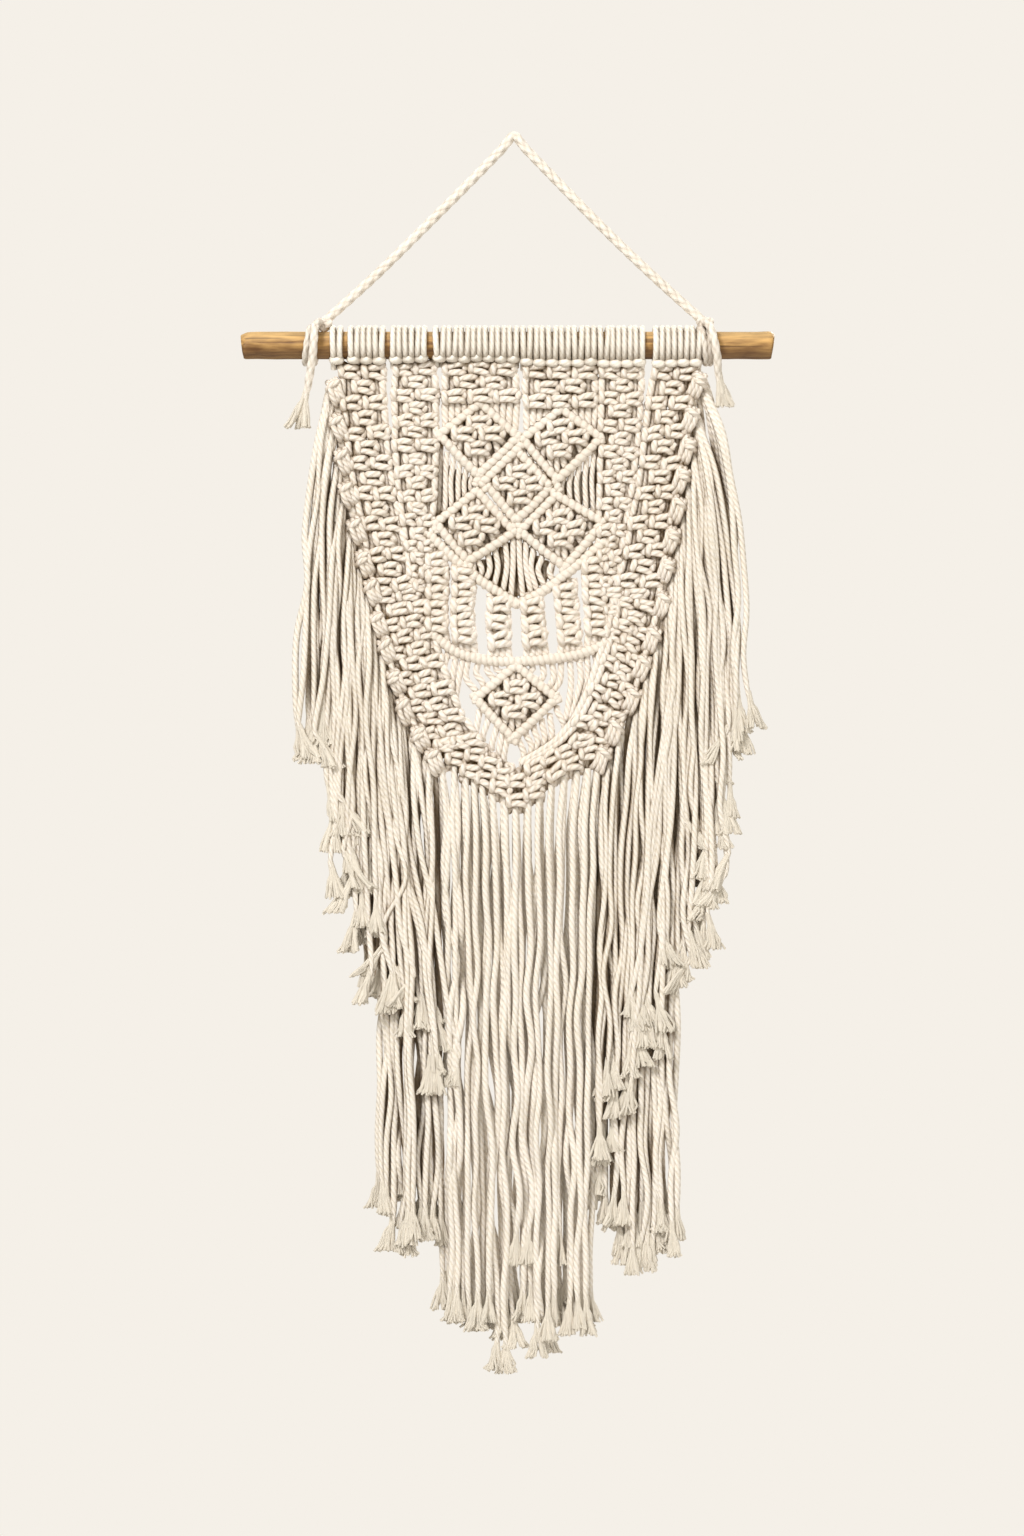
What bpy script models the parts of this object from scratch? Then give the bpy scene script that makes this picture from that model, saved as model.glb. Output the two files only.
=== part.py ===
"""A macrame wall hanging on a wooden dowel.

Frame: metres, +X to the right, +Z up, -Y towards the viewer. The origin is the seat of the nail,
under the top of the hanging cord. Places are read on a knotting chart of small squares, counted
in columns to the right of the nail and in rows down from it.
"""

import math

import bmesh
import bpy
from mathutils import Vector

# ---------------------------------------------------------------- driving sizes
SQUARE = 0.0007            # one square of the knotting chart
GAP = 0.0003               # clearance between two pieces
CORD = 0.0043              # width of a knotted panel cord
LOCK = 0.0062              # width of a fringe lock, two cords side by side
TUFT = 0.0094              # width of a lock's frayed end
TUFT_LENGTH = 0.018        # length of a lock's frayed end
HANGER = 0.0068            # width of the hanging cord

DOWEL_RADIUS = 0.0096
DOWEL_ROW = 204.5          # chart row of the dowel's axis
DOWEL_LEFT = -272
DOWEL_RIGHT = 259

BAND_EDGE = 0.0062         # thickness of a knotted band between its knots
BAND_KNOT = 0.0092         # thickness of a knotted band at a knot
BAR = 0.0062               # thickness of a clove-hitch bar
STRIP = 0.0088             # thickness of the bound roots of a fringe

WOOD_COLOUR = (0.62, 0.38, 0.17, 1.0)
COTTON_COLOUR = (0.84, 0.80, 0.71, 1.0)

# ---------------------------------------------------------------- knotting chart
# Groups of lark's heads on the dowel: first column, last column, knots.
HEADING = (
    (-180, -129, 4),
    (-124, -87, 3),
    (-80, 131, 17),
    (137, 182, 4),
)

# Bands of alternating square knots. Each row of a table is one section of the band:
# left column, left row, right column, right row. Then knots across and rows of knots.
OUTER_LEFT = (
    (-175, 221, -130, 221),
    (-172, 260, -128, 262),
    (-168, 300, -125, 302),
    (-163, 338, -120, 340),
    (-155, 376, -113, 376),
    (-148, 412, -106, 410),
    (-142, 448, -94, 444),
    (-137, 482, -80, 480),
    (-129, 510, -77, 500),
    (-119, 542, -67, 530),
    (-109, 571, -54, 564),
    (-94, 598, -39, 592),
    (-78, 622, -19, 610),
    (-48, 634, -2, 619),
    (-19, 654, 2, 623),
    (-1, 666, 6, 626),
)
OUTER_RIGHT = (
    (138, 221, 181, 221),
    (133, 260, 176, 262),
    (128, 300, 171, 302),
    (123, 338, 166, 340),
    (115, 376, 158, 376),
    (110, 412, 153, 410),
    (100, 446, 148, 444),
    (91, 480, 144, 478),
    (90, 508, 136, 506),
    (82, 536, 127, 534),
    (74, 560, 117, 566),
    (61, 578, 99, 594),
    (46, 596, 88, 622),
    (32, 608, 71, 637),
    (18, 619, 46, 645),
    (5, 625, 3, 666),
)
INNER_LEFT = (
    (-121, 221, -78, 221),
    (-120, 300, -77, 300),
    (-115, 352, -78, 352),
    (-107, 400, -83, 400),
    (-98, 450, -88, 450),
)
INNER_RIGHT = (
    (86, 221, 129, 221),
    (85, 290, 124, 290),
    (84, 350, 116, 350),
    (82, 400, 107, 400),
    (86, 450, 100, 450),
)
CENTRE_LEFT = (
    (-70, 221, 4, 221),
    (-71, 262, 4, 262),
)
CENTRE_RIGHT = (
    (8, 221, 82, 221),
    (8, 266, 82, 266),
)
# Table, knots across, rows of knots, depth of the flat back in millimetres.
BANDS = (
    (OUTER_LEFT, 2, 32, 4.2),
    (OUTER_RIGHT, 2, 32, 4.8),
    (INNER_LEFT, 2, 17, 3.7),
    (INNER_RIGHT, 2, 16, 3.5),
    (CENTRE_LEFT, 3, 3, 4.2),
    (CENTRE_RIGHT, 3, 3, 4.2),
)

# Diamonds of clove-hitch bars: their left, top, right and bottom corners as column and row.
DIAMONDS = (
    ((-75, 296), (-35, 261), (7, 296), (-35, 333)),
    ((7, 297), (45, 269), (88, 298), (43, 335)),
    ((-34, 344), (5, 306), (40, 344), (3, 386)),
    ((-79, 383), (-37, 354), (2, 390), (-46, 419)),
    ((4, 391), (41, 354), (90, 383), (51, 425)),
    ((-39, 557), (1, 520), (43, 557), (-1, 599)),
)
DIAMOND_HITCHES = 5        # ridges raised on each half of a diamond

# Long clove-hitch bars: their route as columns and rows, and the ridges raised on them.
LONG_BARS = (
    (((-22, 341), (5, 376), (32, 347)), 4),
    (((-84, 396), (-64, 414), (-34, 439), (3, 465), (31, 449), (61, 426), (90, 402)), 10),
    (((-82, 493), (-64, 507), (-49, 514), (-29, 519), (1, 521), (26, 519), (51, 516),
      (78, 509), (92, 498)), 10),
)

# Square-knot sinnets: top column, bottom column, top row, bottom row, knots.
SINNETS = (
    (-77, -77, 404, 498, 6),
    (-50, -50, 424, 512, 6),
    (-16, -16, 450, 518, 5),
    (18, 23, 452, 518, 5),
    (50, 56, 436, 514, 5),
    (79, 84, 408, 506, 6),
)

# Free lengths of panel cord between bars: top column, top row, bottom column, bottom row,
# number side by side, step in columns from one to the next, and steps in rows at their ends.
FREE_CORDS = (
    (-68, 303, -72, 380, 4, 9.2, 8.0, -6.8),
    (80, 303, 84, 380, 4, -9.2, 7.8, -6.8),
    (-34, 413, -34, 438, 4, 9.6, -6.0, 6.6),
    (8, 394, 8, 462, 4, 9.6, 7.6, -6.6),
    (-57, 509, -60, 566, 2, 11.0, 3.0, 14.0),
    (74, 510, 54, 590, 3, -9.5, 2.0, 10.0),
    (-58, 256, -58, 283, 1, 0.0, 0.0, 0.0),
    (-8, 258, -14, 281, 1, 0.0, 0.0, 0.0),
    (24, 258, 24, 285, 1, 0.0, 0.0, 0.0),
    (68, 258, 70, 288, 1, 0.0, 0.0, 0.0),
    (-26, 568, -20, 612, 2, 9.5, 9.0, 4.0),
    (32, 564, 24, 616, 2, -9.5, 9.0, 4.0),
)

# Fringe layers. Each has its depth in millimetres, its first and last column at the tips, and
# one tip row for each lock of two cords.
FRINGE_LEFT = (
    (-8, -214, -80, (614, 606, 611, 693, 746, 790, 864, 1094, 889, 944)),
    (-1, -207, -86, (612, 610, 697, 749, 746, 1074, 1104, 1094, 1099)),
    (6, -201, -79, (600, 604, 700, 795, 850, 1060, 1090, 1085, 1096)),
)
FRINGE_CENTRE = (
    (-8, -62, 70, (1184, 1184, 1182, 1224, 1121, 1221, 1189, 1184, 1189)),
    (-1, -56, 74, (1180, 1186, 1190, 1200, 1174, 1206, 1131, 1186, 1180)),
    (6, -66, 64, (1170, 1176, 1180, 1190, 1186, 1184, 1178, 1182, 1176)),
)
FRINGE_RIGHT = (
    (-8, 236, 84, (594, 600, 759, 814, 844, 819, 904, 879, 969, 954, 1019)),
    (-1, 229, 92, (609, 690, 759, 803, 1106, 1084, 1121, 1131, 1081, 1016)),
    (6, 221, 88, (600, 684, 752, 800, 1100, 1109, 1100, 1121, 1090, 1060)),
)

# The hanging cord's route over the nail, from tie to tie: column, row.
HANGER_ROUTE = (
    (-191, 182), (-140, 136), (-90, 87), (-40, 37), (-12, 8), (0, -4.9),
    (12, 8), (40, 37), (90, 88), (138, 134), (189, 180),
)
# Frayed tails of the hanging cord: column, row, depth in millimetres.
LEFT_TAIL = (
    (-194, 182, -5), (-198, 188, -14), (-199, 204, -18.5), (-201, 225, -16), (-206, 254, -12),
    (-211, 284, -9),
)
RIGHT_TAIL = (
    (190, 181, -5), (195, 188, -14), (199, 204, -18.5), (203, 225, -16), (206, 243, -12),
    (208, 269, -9),
)
# Knots of the hanging cord on top of the dowel: column, row.
LEFT_KNOT = (-190, 181)
RIGHT_KNOT = (191, 180)
# Turns of the hanging cord round the dowel: column of each turn.
LEFT_TURNS = (-206, -199)
RIGHT_TURNS = (189.5, 195.5)


# ---------------------------------------------------------------- helpers
def at(column, row, depth=0.0):
    """A place on the chart, in metres; depth runs away from the viewer."""
    return Vector((column * SQUARE, depth, -row * SQUARE))


def collection(name, hidden=False):
    made = bpy.data.collections.new(name)
    made.hide_render = hidden
    bpy.context.scene.collection.children.link(made)
    return made


def material(name, colour, roughness):
    made = bpy.data.materials.new(name)
    made.use_nodes = True
    shader = made.node_tree.nodes["Principled BSDF"]
    shader.inputs["Base Color"].default_value = colour
    shader.inputs["Roughness"].default_value = roughness
    shader.inputs["Metallic"].default_value = 0.0
    return made


def smooth(points, count):
    """Evenly spaced points on a smooth curve through the given ones."""
    padded = [2 * points[0] - points[1], *points, 2 * points[-1] - points[-2]]
    fine = []
    for before, start, end, after in zip(padded, padded[1:], padded[2:], padded[3:]):
        for step in range(16):
            t = step / 16
            fine.append(
                0.5 * (2 * start + (end - before) * t
                       + (2 * before - 5 * start + 4 * end - after) * t ** 2
                       + (3 * start - before - 3 * end + after) * t ** 3)
            )
    fine.append(points[-1])
    return even(fine, count)


def even(points, count):
    """Evenly spaced points along a run of straight lines."""
    along = [0.0]
    for start, end in zip(points, points[1:]):
        along.append(along[-1] + (end - start).length)
    made = []
    piece = 0
    for index in range(count):
        target = along[-1] * index / (count - 1)
        while piece < len(points) - 2 and along[piece + 1] < target:
            piece += 1
        t = (target - along[piece]) / (along[piece + 1] - along[piece])
        made.append(points[piece].lerp(points[piece + 1], min(t, 1.0)))
    return made


def beside(points, distance):
    """The run of points moved sideways in the hanging plane, to the right of its direction."""
    moved = []
    for index, point in enumerate(points):
        ahead = points[min(index + 1, len(points) - 1)] - points[max(index - 1, 0)]
        side = Vector((-ahead.z, 0.0, ahead.x)).normalized()
        moved.append(point - side * distance)
    return moved


def closed_mesh(obj):
    """The object's evaluated shape as a closed mesh object with its faces pointing out."""
    bpy.context.view_layer.update()
    graph = bpy.context.evaluated_depsgraph_get()
    mesh = bpy.data.meshes.new_from_object(obj.evaluated_get(graph))
    shape = bmesh.new()
    shape.from_mesh(mesh)
    bmesh.ops.remove_doubles(shape, verts=shape.verts, dist=0.00001)
    bmesh.ops.recalc_face_normals(shape, faces=shape.faces)
    shape.to_mesh(mesh)
    shape.free()
    name = obj.name
    place = obj.matrix_world.copy()
    bpy.data.objects.remove(obj)
    made = bpy.data.objects.new(name, mesh)
    made.matrix_world = place
    return made


def tubes(name, routes, sides):
    """One mesh of round tubes. Each route is a list of places and a list of radii."""
    curve = bpy.data.curves.new(name, "CURVE")
    curve.dimensions = "3D"
    curve.bevel_depth = 1.0
    curve.bevel_resolution = (sides - 4) // 2
    curve.use_fill_caps = True
    for places, radii in routes:
        spline = curve.splines.new("POLY")
        spline.points.add(len(places) - 1)
        for point, place, radius in zip(spline.points, places, radii):
            point.co = (*place, 1.0)
            point.radius = radius
    obj = bpy.data.objects.new(name, curve)
    bpy.context.scene.collection.objects.link(obj)
    return closed_mesh(obj)


def ridged(points, thickness, ridges):
    """A route with its radii, thick at each ridge and thin between two of them."""
    places = smooth(points, 2 * ridges + 1)
    radii = [thickness / 2 * (1.0 if index % 2 else 0.8) for index in range(len(places))]
    return places, radii


def union(name, pieces, helpers, holder, look):
    """One object of all the pieces, fused where they meet."""
    parts = collection(name + "_pieces", hidden=True)
    helpers.children.link(parts)
    bpy.context.scene.collection.children.unlink(parts)
    first, *others = pieces
    for piece in others:
        piece.display_type = "WIRE"
        piece.hide_render = True
        parts.objects.link(piece)
    first.name = name
    first.data.materials.clear()
    first.data.materials.append(look)
    fuse = first.modifiers.new("fuse the pieces", "BOOLEAN")
    fuse.operation = "UNION"
    fuse.operand_type = "COLLECTION"
    fuse.collection = parts
    fuse.solver = "EXACT"
    holder.objects.link(first)
    return first


# ---------------------------------------------------------------- dowel
def dowel(holder, look):
    """A straight length of branch, a little uneven, with eased ends."""
    # Share of the length, share of the radius.
    sections = (
        (0.0, 0.86), (0.004, 0.98), (0.05, 1.03), (0.11, 1.0), (0.5, 1.0), (0.86, 1.0),
        (0.92, 1.02), (0.96, 0.99), (0.995, 0.97), (1.0, 0.86),
    )
    places = []
    radii = []
    for share, size in sections:
        column = DOWEL_LEFT + (DOWEL_RIGHT - DOWEL_LEFT) * share
        places.append(at(column, DOWEL_ROW))
        radii.append(DOWEL_RADIUS * size)
    obj = tubes("dowel", [(places, radii)], 16)
    obj.data.materials.append(look)
    obj.data.shade_smooth()
    obj.data.set_sharp_from_angle(angle=math.radians(40))
    holder.objects.link(obj)


# ---------------------------------------------------------------- knotted panel
def heading_sleeve(first, last, knots):
    """The lark's heads of one group: a ring round the dowel with one ridge for each knot."""
    steps = 8
    flat = math.cos(math.pi / steps)
    inner = (DOWEL_RADIUS + GAP) / flat
    crest = DOWEL_RADIUS + GAP + CORD
    valley = crest - 0.30 * CORD
    start = first * SQUARE
    width = (last - first) * SQUARE / knots
    outline = [(start, inner)]
    for knot in range(knots):
        outline.append((start + width * (knot + 0.04), valley))
        outline.append((start + width * (knot + 0.50), crest))
    outline.append((start + width * (knots - 0.04), valley))
    outline.append((start + width * knots, inner))

    mesh = bpy.data.meshes.new("heading")
    corners = [(x, 0.0, radius) for x, radius in outline]
    edges = [(index, (index + 1) % len(corners)) for index in range(len(corners))]
    mesh.from_pydata(corners, edges, [])
    obj = bpy.data.objects.new("heading", mesh)
    bpy.context.scene.collection.objects.link(obj)
    turn = obj.modifiers.new("turn round the dowel", "SCREW")
    turn.axis = "X"
    turn.steps = turn.render_steps = steps
    turn.use_merge_vertices = True
    turn.merge_threshold = 0.00001
    made = closed_mesh(obj)
    made.location = at(0, DOWEL_ROW)
    return made


def band(sections, across, knot_rows, back_depth):
    """A strip of alternating square knots: a sheet whose points are raised at each knot."""
    left = even([at(row[0], row[1]) for row in sections], knot_rows + 1)
    right = even([at(row[2], row[3]) for row in sections], knot_rows + 1)
    columns = 2 * across + 1
    behind = back_depth * 0.001
    shape = bmesh.new()
    grid = []
    for row in range(knot_rows + 1):
        line = []
        for column in range(columns):
            knot = (row + column) % 2 == 1
            place = left[row].lerp(right[row], column / (columns - 1))
            place.y = behind - (BAND_KNOT if knot else BAND_EDGE)
            line.append(shape.verts.new(place))
        grid.append(line)
    for row in range(knot_rows):
        for column in range(columns - 1):
            corners = [grid[row][column], grid[row][column + 1],
                       grid[row + 1][column + 1], grid[row + 1][column]]
            # Each square is split between its two low corners, so each knot is a mound.
            if (row + column) % 2 == 1:
                corners = corners[1:] + corners[:1]
            shape.faces.new((corners[0], corners[1], corners[2]))
            shape.faces.new((corners[0], corners[2], corners[3]))
    rim = ([grid[0][column] for column in range(columns)]
           + [grid[row][columns - 1] for row in range(1, knot_rows + 1)]
           + [grid[knot_rows][column] for column in range(columns - 2, -1, -1)]
           + [grid[row][0] for row in range(knot_rows - 1, 0, -1)])
    back = [shape.verts.new((corner.co.x, behind, corner.co.z)) for corner in rim]
    shape.faces.new(back)
    for index in range(len(rim)):
        shape.faces.new((rim[index - 1], rim[index], back[index], back[index - 1]))
    bmesh.ops.recalc_face_normals(shape, faces=shape.faces)
    mesh = bpy.data.meshes.new("band")
    shape.to_mesh(mesh)
    shape.free()
    return bpy.data.objects.new("band", mesh)


def bar(route, hitches, depth):
    """A clove-hitch bar: a ridged tube along its route."""
    points = [at(column, row, depth) for column, row in route]
    return tubes("bar", [ridged(points, BAR, hitches)], 4)


def diamond(left, top, right, bottom):
    """Two bent bars round four square knots on three upright cords."""
    lower = [(column, row + 2) for column, row in (left, bottom, right)]
    pieces = [bar((left, top, right), DIAMOND_HITCHES, -0.0012), bar(lower, DIAMOND_HITCHES, 0.0003)]
    middle = (left[1] + right[1]) / 2
    height = bottom[1] - top[1]
    knots = []
    cords = []
    for share in (0.27, 0.50, 0.73):
        column = left[0] + (right[0] - left[0]) * share
        reach = 0.5 - abs(share - 0.5)
        ends = [at(column, middle - height * reach, 0.0005), at(column, middle + height * reach, 0.0005)]
        cords.append((ends, [CORD / 2] * 2))
        rows = (middle,) if share != 0.50 else (top[1] + 0.31 * height, top[1] + 0.69 * height)
        for row in rows:
            places = [at(column + step, row, -0.0009) for step in (-11, 1, 12)]
            knots.append((places, [0.0026, 0.0046, 0.0026]))
    return [*pieces, tubes("knots", knots, 4), tubes("cords", cords, 4)]


def sinnets():
    """The six hanging braids of square knots."""
    routes = []
    for top, bottom, first, last, knots in SINNETS:
        middle = at((top + bottom) / 2, (first + last) / 2)
        places, radii = ridged([at(top, first), middle, at(bottom, last)], 22 * SQUARE, knots)
        routes.append((places, radii))
    made = tubes("sinnets", routes, 4)
    made.scale.y = 0.5
    return made


def free_cords():
    """The lengths of cord that run free between two bars."""
    routes = []
    for column, row, end_column, end_row, count, step, rise, fall in FREE_CORDS:
        for index in range(count):
            start = at(column + step * index, row + rise * index, 0.0004)
            end = at(end_column + step * index, end_row + fall * index, 0.0004)
            bow = start.lerp(end, 0.5) + Vector((1.2 * SQUARE, -0.0008, 0.0))
            routes.append(([start, bow, end], [CORD / 2] * 3))
    return tubes("free cords", routes, 4)


def panel(holder, helpers, look):
    """The heading, the knotted bands, the bars, the sinnets and the cords between them."""
    pieces = [band(*BANDS[0])]
    pieces += [band(*row) for row in BANDS[1:]]
    pieces += [heading_sleeve(*group) for group in HEADING]
    for corners in DIAMONDS:
        pieces += diamond(*corners)
    pieces += [bar(*row, -0.0005) for row in LONG_BARS]
    pieces += [sinnets(), free_cords()]
    union("knotted_panel", pieces, helpers, holder, look)


# ---------------------------------------------------------------- fringe
def strand(root, fall, tip_row, depth):
    """One lock: out of its root, down, and into a frayed end."""
    drop = -tip_row * SQUARE - root.z
    shoulder = Vector((root.x + 0.60 * (fall - root.x), depth, root.z + 0.20 * drop))
    fray = Vector((fall, depth, root.z + drop + TUFT_LENGTH))
    tip = Vector((fall, depth, root.z + drop))
    return [root, shoulder, fray, tip], [LOCK / 2, LOCK / 2, LOCK / 2, TUFT / 2]


def fringe(name, edge, layers, holder, helpers, look):
    """Cords in layers whose roots are fused into the strip of wraps along one edge."""
    strip = smooth(edge, 19)
    radii = [STRIP / 2 * (1.0 if index % 2 else 0.86) for index in range(len(strip))]
    backing = tubes(name + " roots", [(strip, radii)], 4)
    pieces = [backing]
    for depth, first, last, tips in layers:
        routes = []
        roots = even(strip, 2 * len(tips) + 1)[1::2]
        for index, (root, tip_row) in enumerate(zip(roots, tips)):
            fall = (first + (last - first) * index / (len(tips) - 1)) * SQUARE
            start = root + Vector((0.0, depth * 0.0003, 0.0))
            routes.append(strand(start, fall, tip_row, depth * 0.001))
        pieces.append(tubes(name + " cords", routes, 4))
    union(name, pieces, helpers, holder, look)


def fringes(holder, helpers, look):
    clear = STRIP / 2 + 2 * GAP
    left_edge = [at(row[0], row[1]) for row in OUTER_LEFT[1:13]]
    right_edge = [at(row[2], row[3]) for row in OUTER_RIGHT[1:13]]
    bottom = [at(row[0], row[1]) for row in OUTER_LEFT[13:]]
    bottom += [at(row[2], row[3]) for row in OUTER_RIGHT[14:12:-1]]
    fringe("fringe_left", beside(left_edge, clear), FRINGE_LEFT, holder, helpers, look)
    fringe("fringe_right", beside(right_edge, -clear), FRINGE_RIGHT, holder, helpers, look)
    fringe("fringe_centre", beside(bottom, clear), FRINGE_CENTRE, holder, helpers, look)


# ---------------------------------------------------------------- hanging cord
def twisted_rope(route, thickness, lay):
    """A two-ply rope: rings of six points whose two raised ones step round with the lay."""
    sides = 6
    length = sum((end - start).length for start, end in zip(route, route[1:]))
    rings = smooth(route, 1 + round(length / (lay / sides)))
    shape = bmesh.new()
    loops = []
    for index, place in enumerate(rings):
        ahead = rings[min(index + 1, len(rings) - 1)] - rings[max(index - 1, 0)]
        side = Vector((0.0, 1.0, 0.0))
        up = ahead.cross(side).normalized()
        loop = []
        for point in range(sides):
            turn = 2 * math.pi * point / sides
            raised = (point - index) % 3 == 0
            radius = thickness / 2 * (1.0 if raised else 0.74)
            loop.append(shape.verts.new(place + radius * (math.cos(turn) * side + math.sin(turn) * up)))
        loops.append(loop)
    for low, high in zip(loops, loops[1:]):
        for point in range(sides):
            following = (point + 1) % sides
            shape.faces.new((low[point], low[following], high[following]))
            shape.faces.new((low[point], high[following], high[point]))
    shape.faces.new(loops[0])
    shape.faces.new(loops[-1])
    bmesh.ops.recalc_face_normals(shape, faces=shape.faces)
    mesh = bpy.data.meshes.new("rope")
    shape.to_mesh(mesh)
    shape.free()
    return bpy.data.objects.new("rope", mesh)


def turn_round_dowel(column):
    """One turn of the hanging cord round the dowel."""
    steps = 10
    thickness = 0.0056
    middle = (DOWEL_RADIUS + GAP) / math.cos(math.pi / steps) + thickness / 2
    bpy.ops.mesh.primitive_torus_add(
        major_segments=steps, minor_segments=4, major_radius=middle, minor_radius=thickness / 2,
        location=at(column, DOWEL_ROW), rotation=(0.0, math.pi / 2, 0.0),
    )
    return closed_mesh(bpy.context.object)


def tie(turns, tail, knot):
    """A tie: turns round the dowel, a knot on top of it and a frayed tail."""
    places = [at(column, row, depth * 0.001) for column, row, depth in tail]
    radii = [HANGER / 2 * 0.85] * (len(tail) - 2) + [HANGER / 2, HANGER * 0.95]
    ends = [at(knot[0] + step, knot[1]) for step in (-7.5, -4, 4, 7.5)]
    pieces = [turn_round_dowel(column) for column in turns]
    pieces.append(tubes("tail", [(places, radii)], 6))
    pieces.append(tubes("knot", [(ends, [0.0028, 0.0048, 0.0048, 0.0028])], 6))
    return pieces


def hanging_cord(holder, helpers, look):
    route = [at(column, row) for column, row in HANGER_ROUTE]
    pieces = [twisted_rope(route, HANGER, 0.028)]
    pieces += tie(LEFT_TURNS, LEFT_TAIL, LEFT_KNOT)
    pieces += tie(RIGHT_TURNS, RIGHT_TAIL, RIGHT_KNOT)
    union("hanging_cord", pieces, helpers, holder, look)


def main():
    for obj in list(bpy.data.objects):
        bpy.data.objects.remove(obj)
    holder = collection("macrame wall hanging")
    helpers = collection("fused pieces", hidden=True)
    wood = material("dowel wood", WOOD_COLOUR, 0.55)
    cotton = material("cotton cord", COTTON_COLOUR, 0.9)
    dowel(holder, wood)
    hanging_cord(holder, helpers, cotton)
    panel(holder, helpers, cotton)
    fringes(holder, helpers, cotton)


main()
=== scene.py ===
# %% [markdown]
# # A macrame wall hanging on a wooden dowel
# Twenty-eight cotton cords are folded over the dowel with lark's head knots and worked down in
# alternating square knots, clove-hitch diamonds and six braids. More cord is looped into both
# edges and hangs in tiers with frayed ends. The scene makes every cord as a real length of
# three-ply rope that follows its knot, so the panel is knotted rather than embossed.
#
# Places are read on the same knotting chart as the solids: small squares of 0.7 mm, columns
# counted to the right of the nail and rows down from it.

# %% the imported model
import math

import bpy
import numpy as np
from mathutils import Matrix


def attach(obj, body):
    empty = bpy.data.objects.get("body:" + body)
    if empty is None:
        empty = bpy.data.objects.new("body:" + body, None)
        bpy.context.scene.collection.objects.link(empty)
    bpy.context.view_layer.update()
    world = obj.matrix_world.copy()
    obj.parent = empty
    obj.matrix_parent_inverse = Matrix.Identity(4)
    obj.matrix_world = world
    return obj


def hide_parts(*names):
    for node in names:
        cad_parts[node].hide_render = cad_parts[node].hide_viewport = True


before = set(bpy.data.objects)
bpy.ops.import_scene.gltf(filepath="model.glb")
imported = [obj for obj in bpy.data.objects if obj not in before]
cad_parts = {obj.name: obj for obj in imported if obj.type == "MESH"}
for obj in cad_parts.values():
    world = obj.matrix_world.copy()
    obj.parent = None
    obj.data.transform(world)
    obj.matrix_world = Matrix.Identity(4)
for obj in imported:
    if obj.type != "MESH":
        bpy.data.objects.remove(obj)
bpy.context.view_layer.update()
print("nodes:", ", ".join(sorted(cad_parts)))

# %% [markdown]
# ## Chart, cord sizes and camera
# The camera stands square to the hanging with a long lens, so a chart square is the same size all
# over the view.

# %% chart and sizes
SQUARE = 0.0007            # one chart square
CORD = 0.0052              # knotted cord
FRINGE_CORD = 0.0044       # cord of the fringe, which its own weight draws thin
HANGER = 0.0068            # hanging cord
DOWEL_ROW = 204.5          # chart row of the dowel's axis
DOWEL_LEFT = -272
DOWEL_RIGHT = 259
DOWEL_RADIUS = 0.0096
KNOT_DEPTH = 0.0036        # how far a knot's crossings stand off its middle plane
rng = np.random.default_rng(28)
print("dowel", round((DOWEL_RIGHT - DOWEL_LEFT) * SQUARE * 1000), "mm long, cord", CORD * 1000, "mm thick")


def at(column, row, depth=0.0):
    """A chart place in metres; depth in millimetres runs away from the viewer."""
    return np.array((column * SQUARE, depth * 0.001, -row * SQUARE))


# %% camera
VIEW = (1024, 1536)        # width and height of the view in chart squares
NAIL = (514, 141)          # place of the nail's seat in the view, in chart squares
LENS = 85.0
SENSOR = 36.0
camera_data = bpy.data.cameras.new("camera")
camera_data.lens = LENS
camera_data.sensor_width = SENSOR
camera = bpy.data.objects.new("camera", camera_data)
bpy.context.scene.collection.objects.link(camera)
distance = VIEW[1] * SQUARE * LENS / SENSOR
camera.location = at(VIEW[0] / 2 - NAIL[0], VIEW[1] / 2 - NAIL[1], -1000 * distance)
camera.rotation_euler = (math.pi / 2, 0.0, 0.0)
bpy.context.scene.camera = camera
print("camera", round(distance, 2), "m away")

# %% [markdown]
# ## Cords
# A cord is a round tube along a smooth curve through a few places. Blender could sweep a curve's
# bevel, but then each corner would not know how far along and how far round the cord it lies. The
# rings are laid here instead, and that pair goes into a UV map in metres and turns, which the
# cotton material reads to lay the plies.

# %% cord maker
def run(points, spacing):
    """Evenly spaced places on a smooth curve through the given ones."""
    p = np.asarray(points, float)
    p = np.vstack([2 * p[0] - p[1], p, 2 * p[-1] - p[-2]])
    t = np.linspace(0, 1, 9)[:-1, None]
    fine = []
    for a, b, c, d in zip(p[:-3], p[1:-2], p[2:-1], p[3:]):
        fine.append(0.5 * (2 * b + (c - a) * t + (2 * a - 5 * b + 4 * c - d) * t ** 2
                           + (3 * b - a - 3 * c + d) * t ** 3))
    fine = np.vstack([*fine, p[-2]])
    along = np.concatenate([[0], np.cumsum(np.linalg.norm(np.diff(fine, axis=0), axis=1))])
    places = np.linspace(0, along[-1], max(3, round(along[-1] / spacing) + 1))
    return np.column_stack([np.interp(places, along, fine[:, k]) for k in range(3)])


laid = []                  # all cord laid so far, as rows of x, y, z and width
LAID_STEP = 0.0012         # distance from row to row


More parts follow.
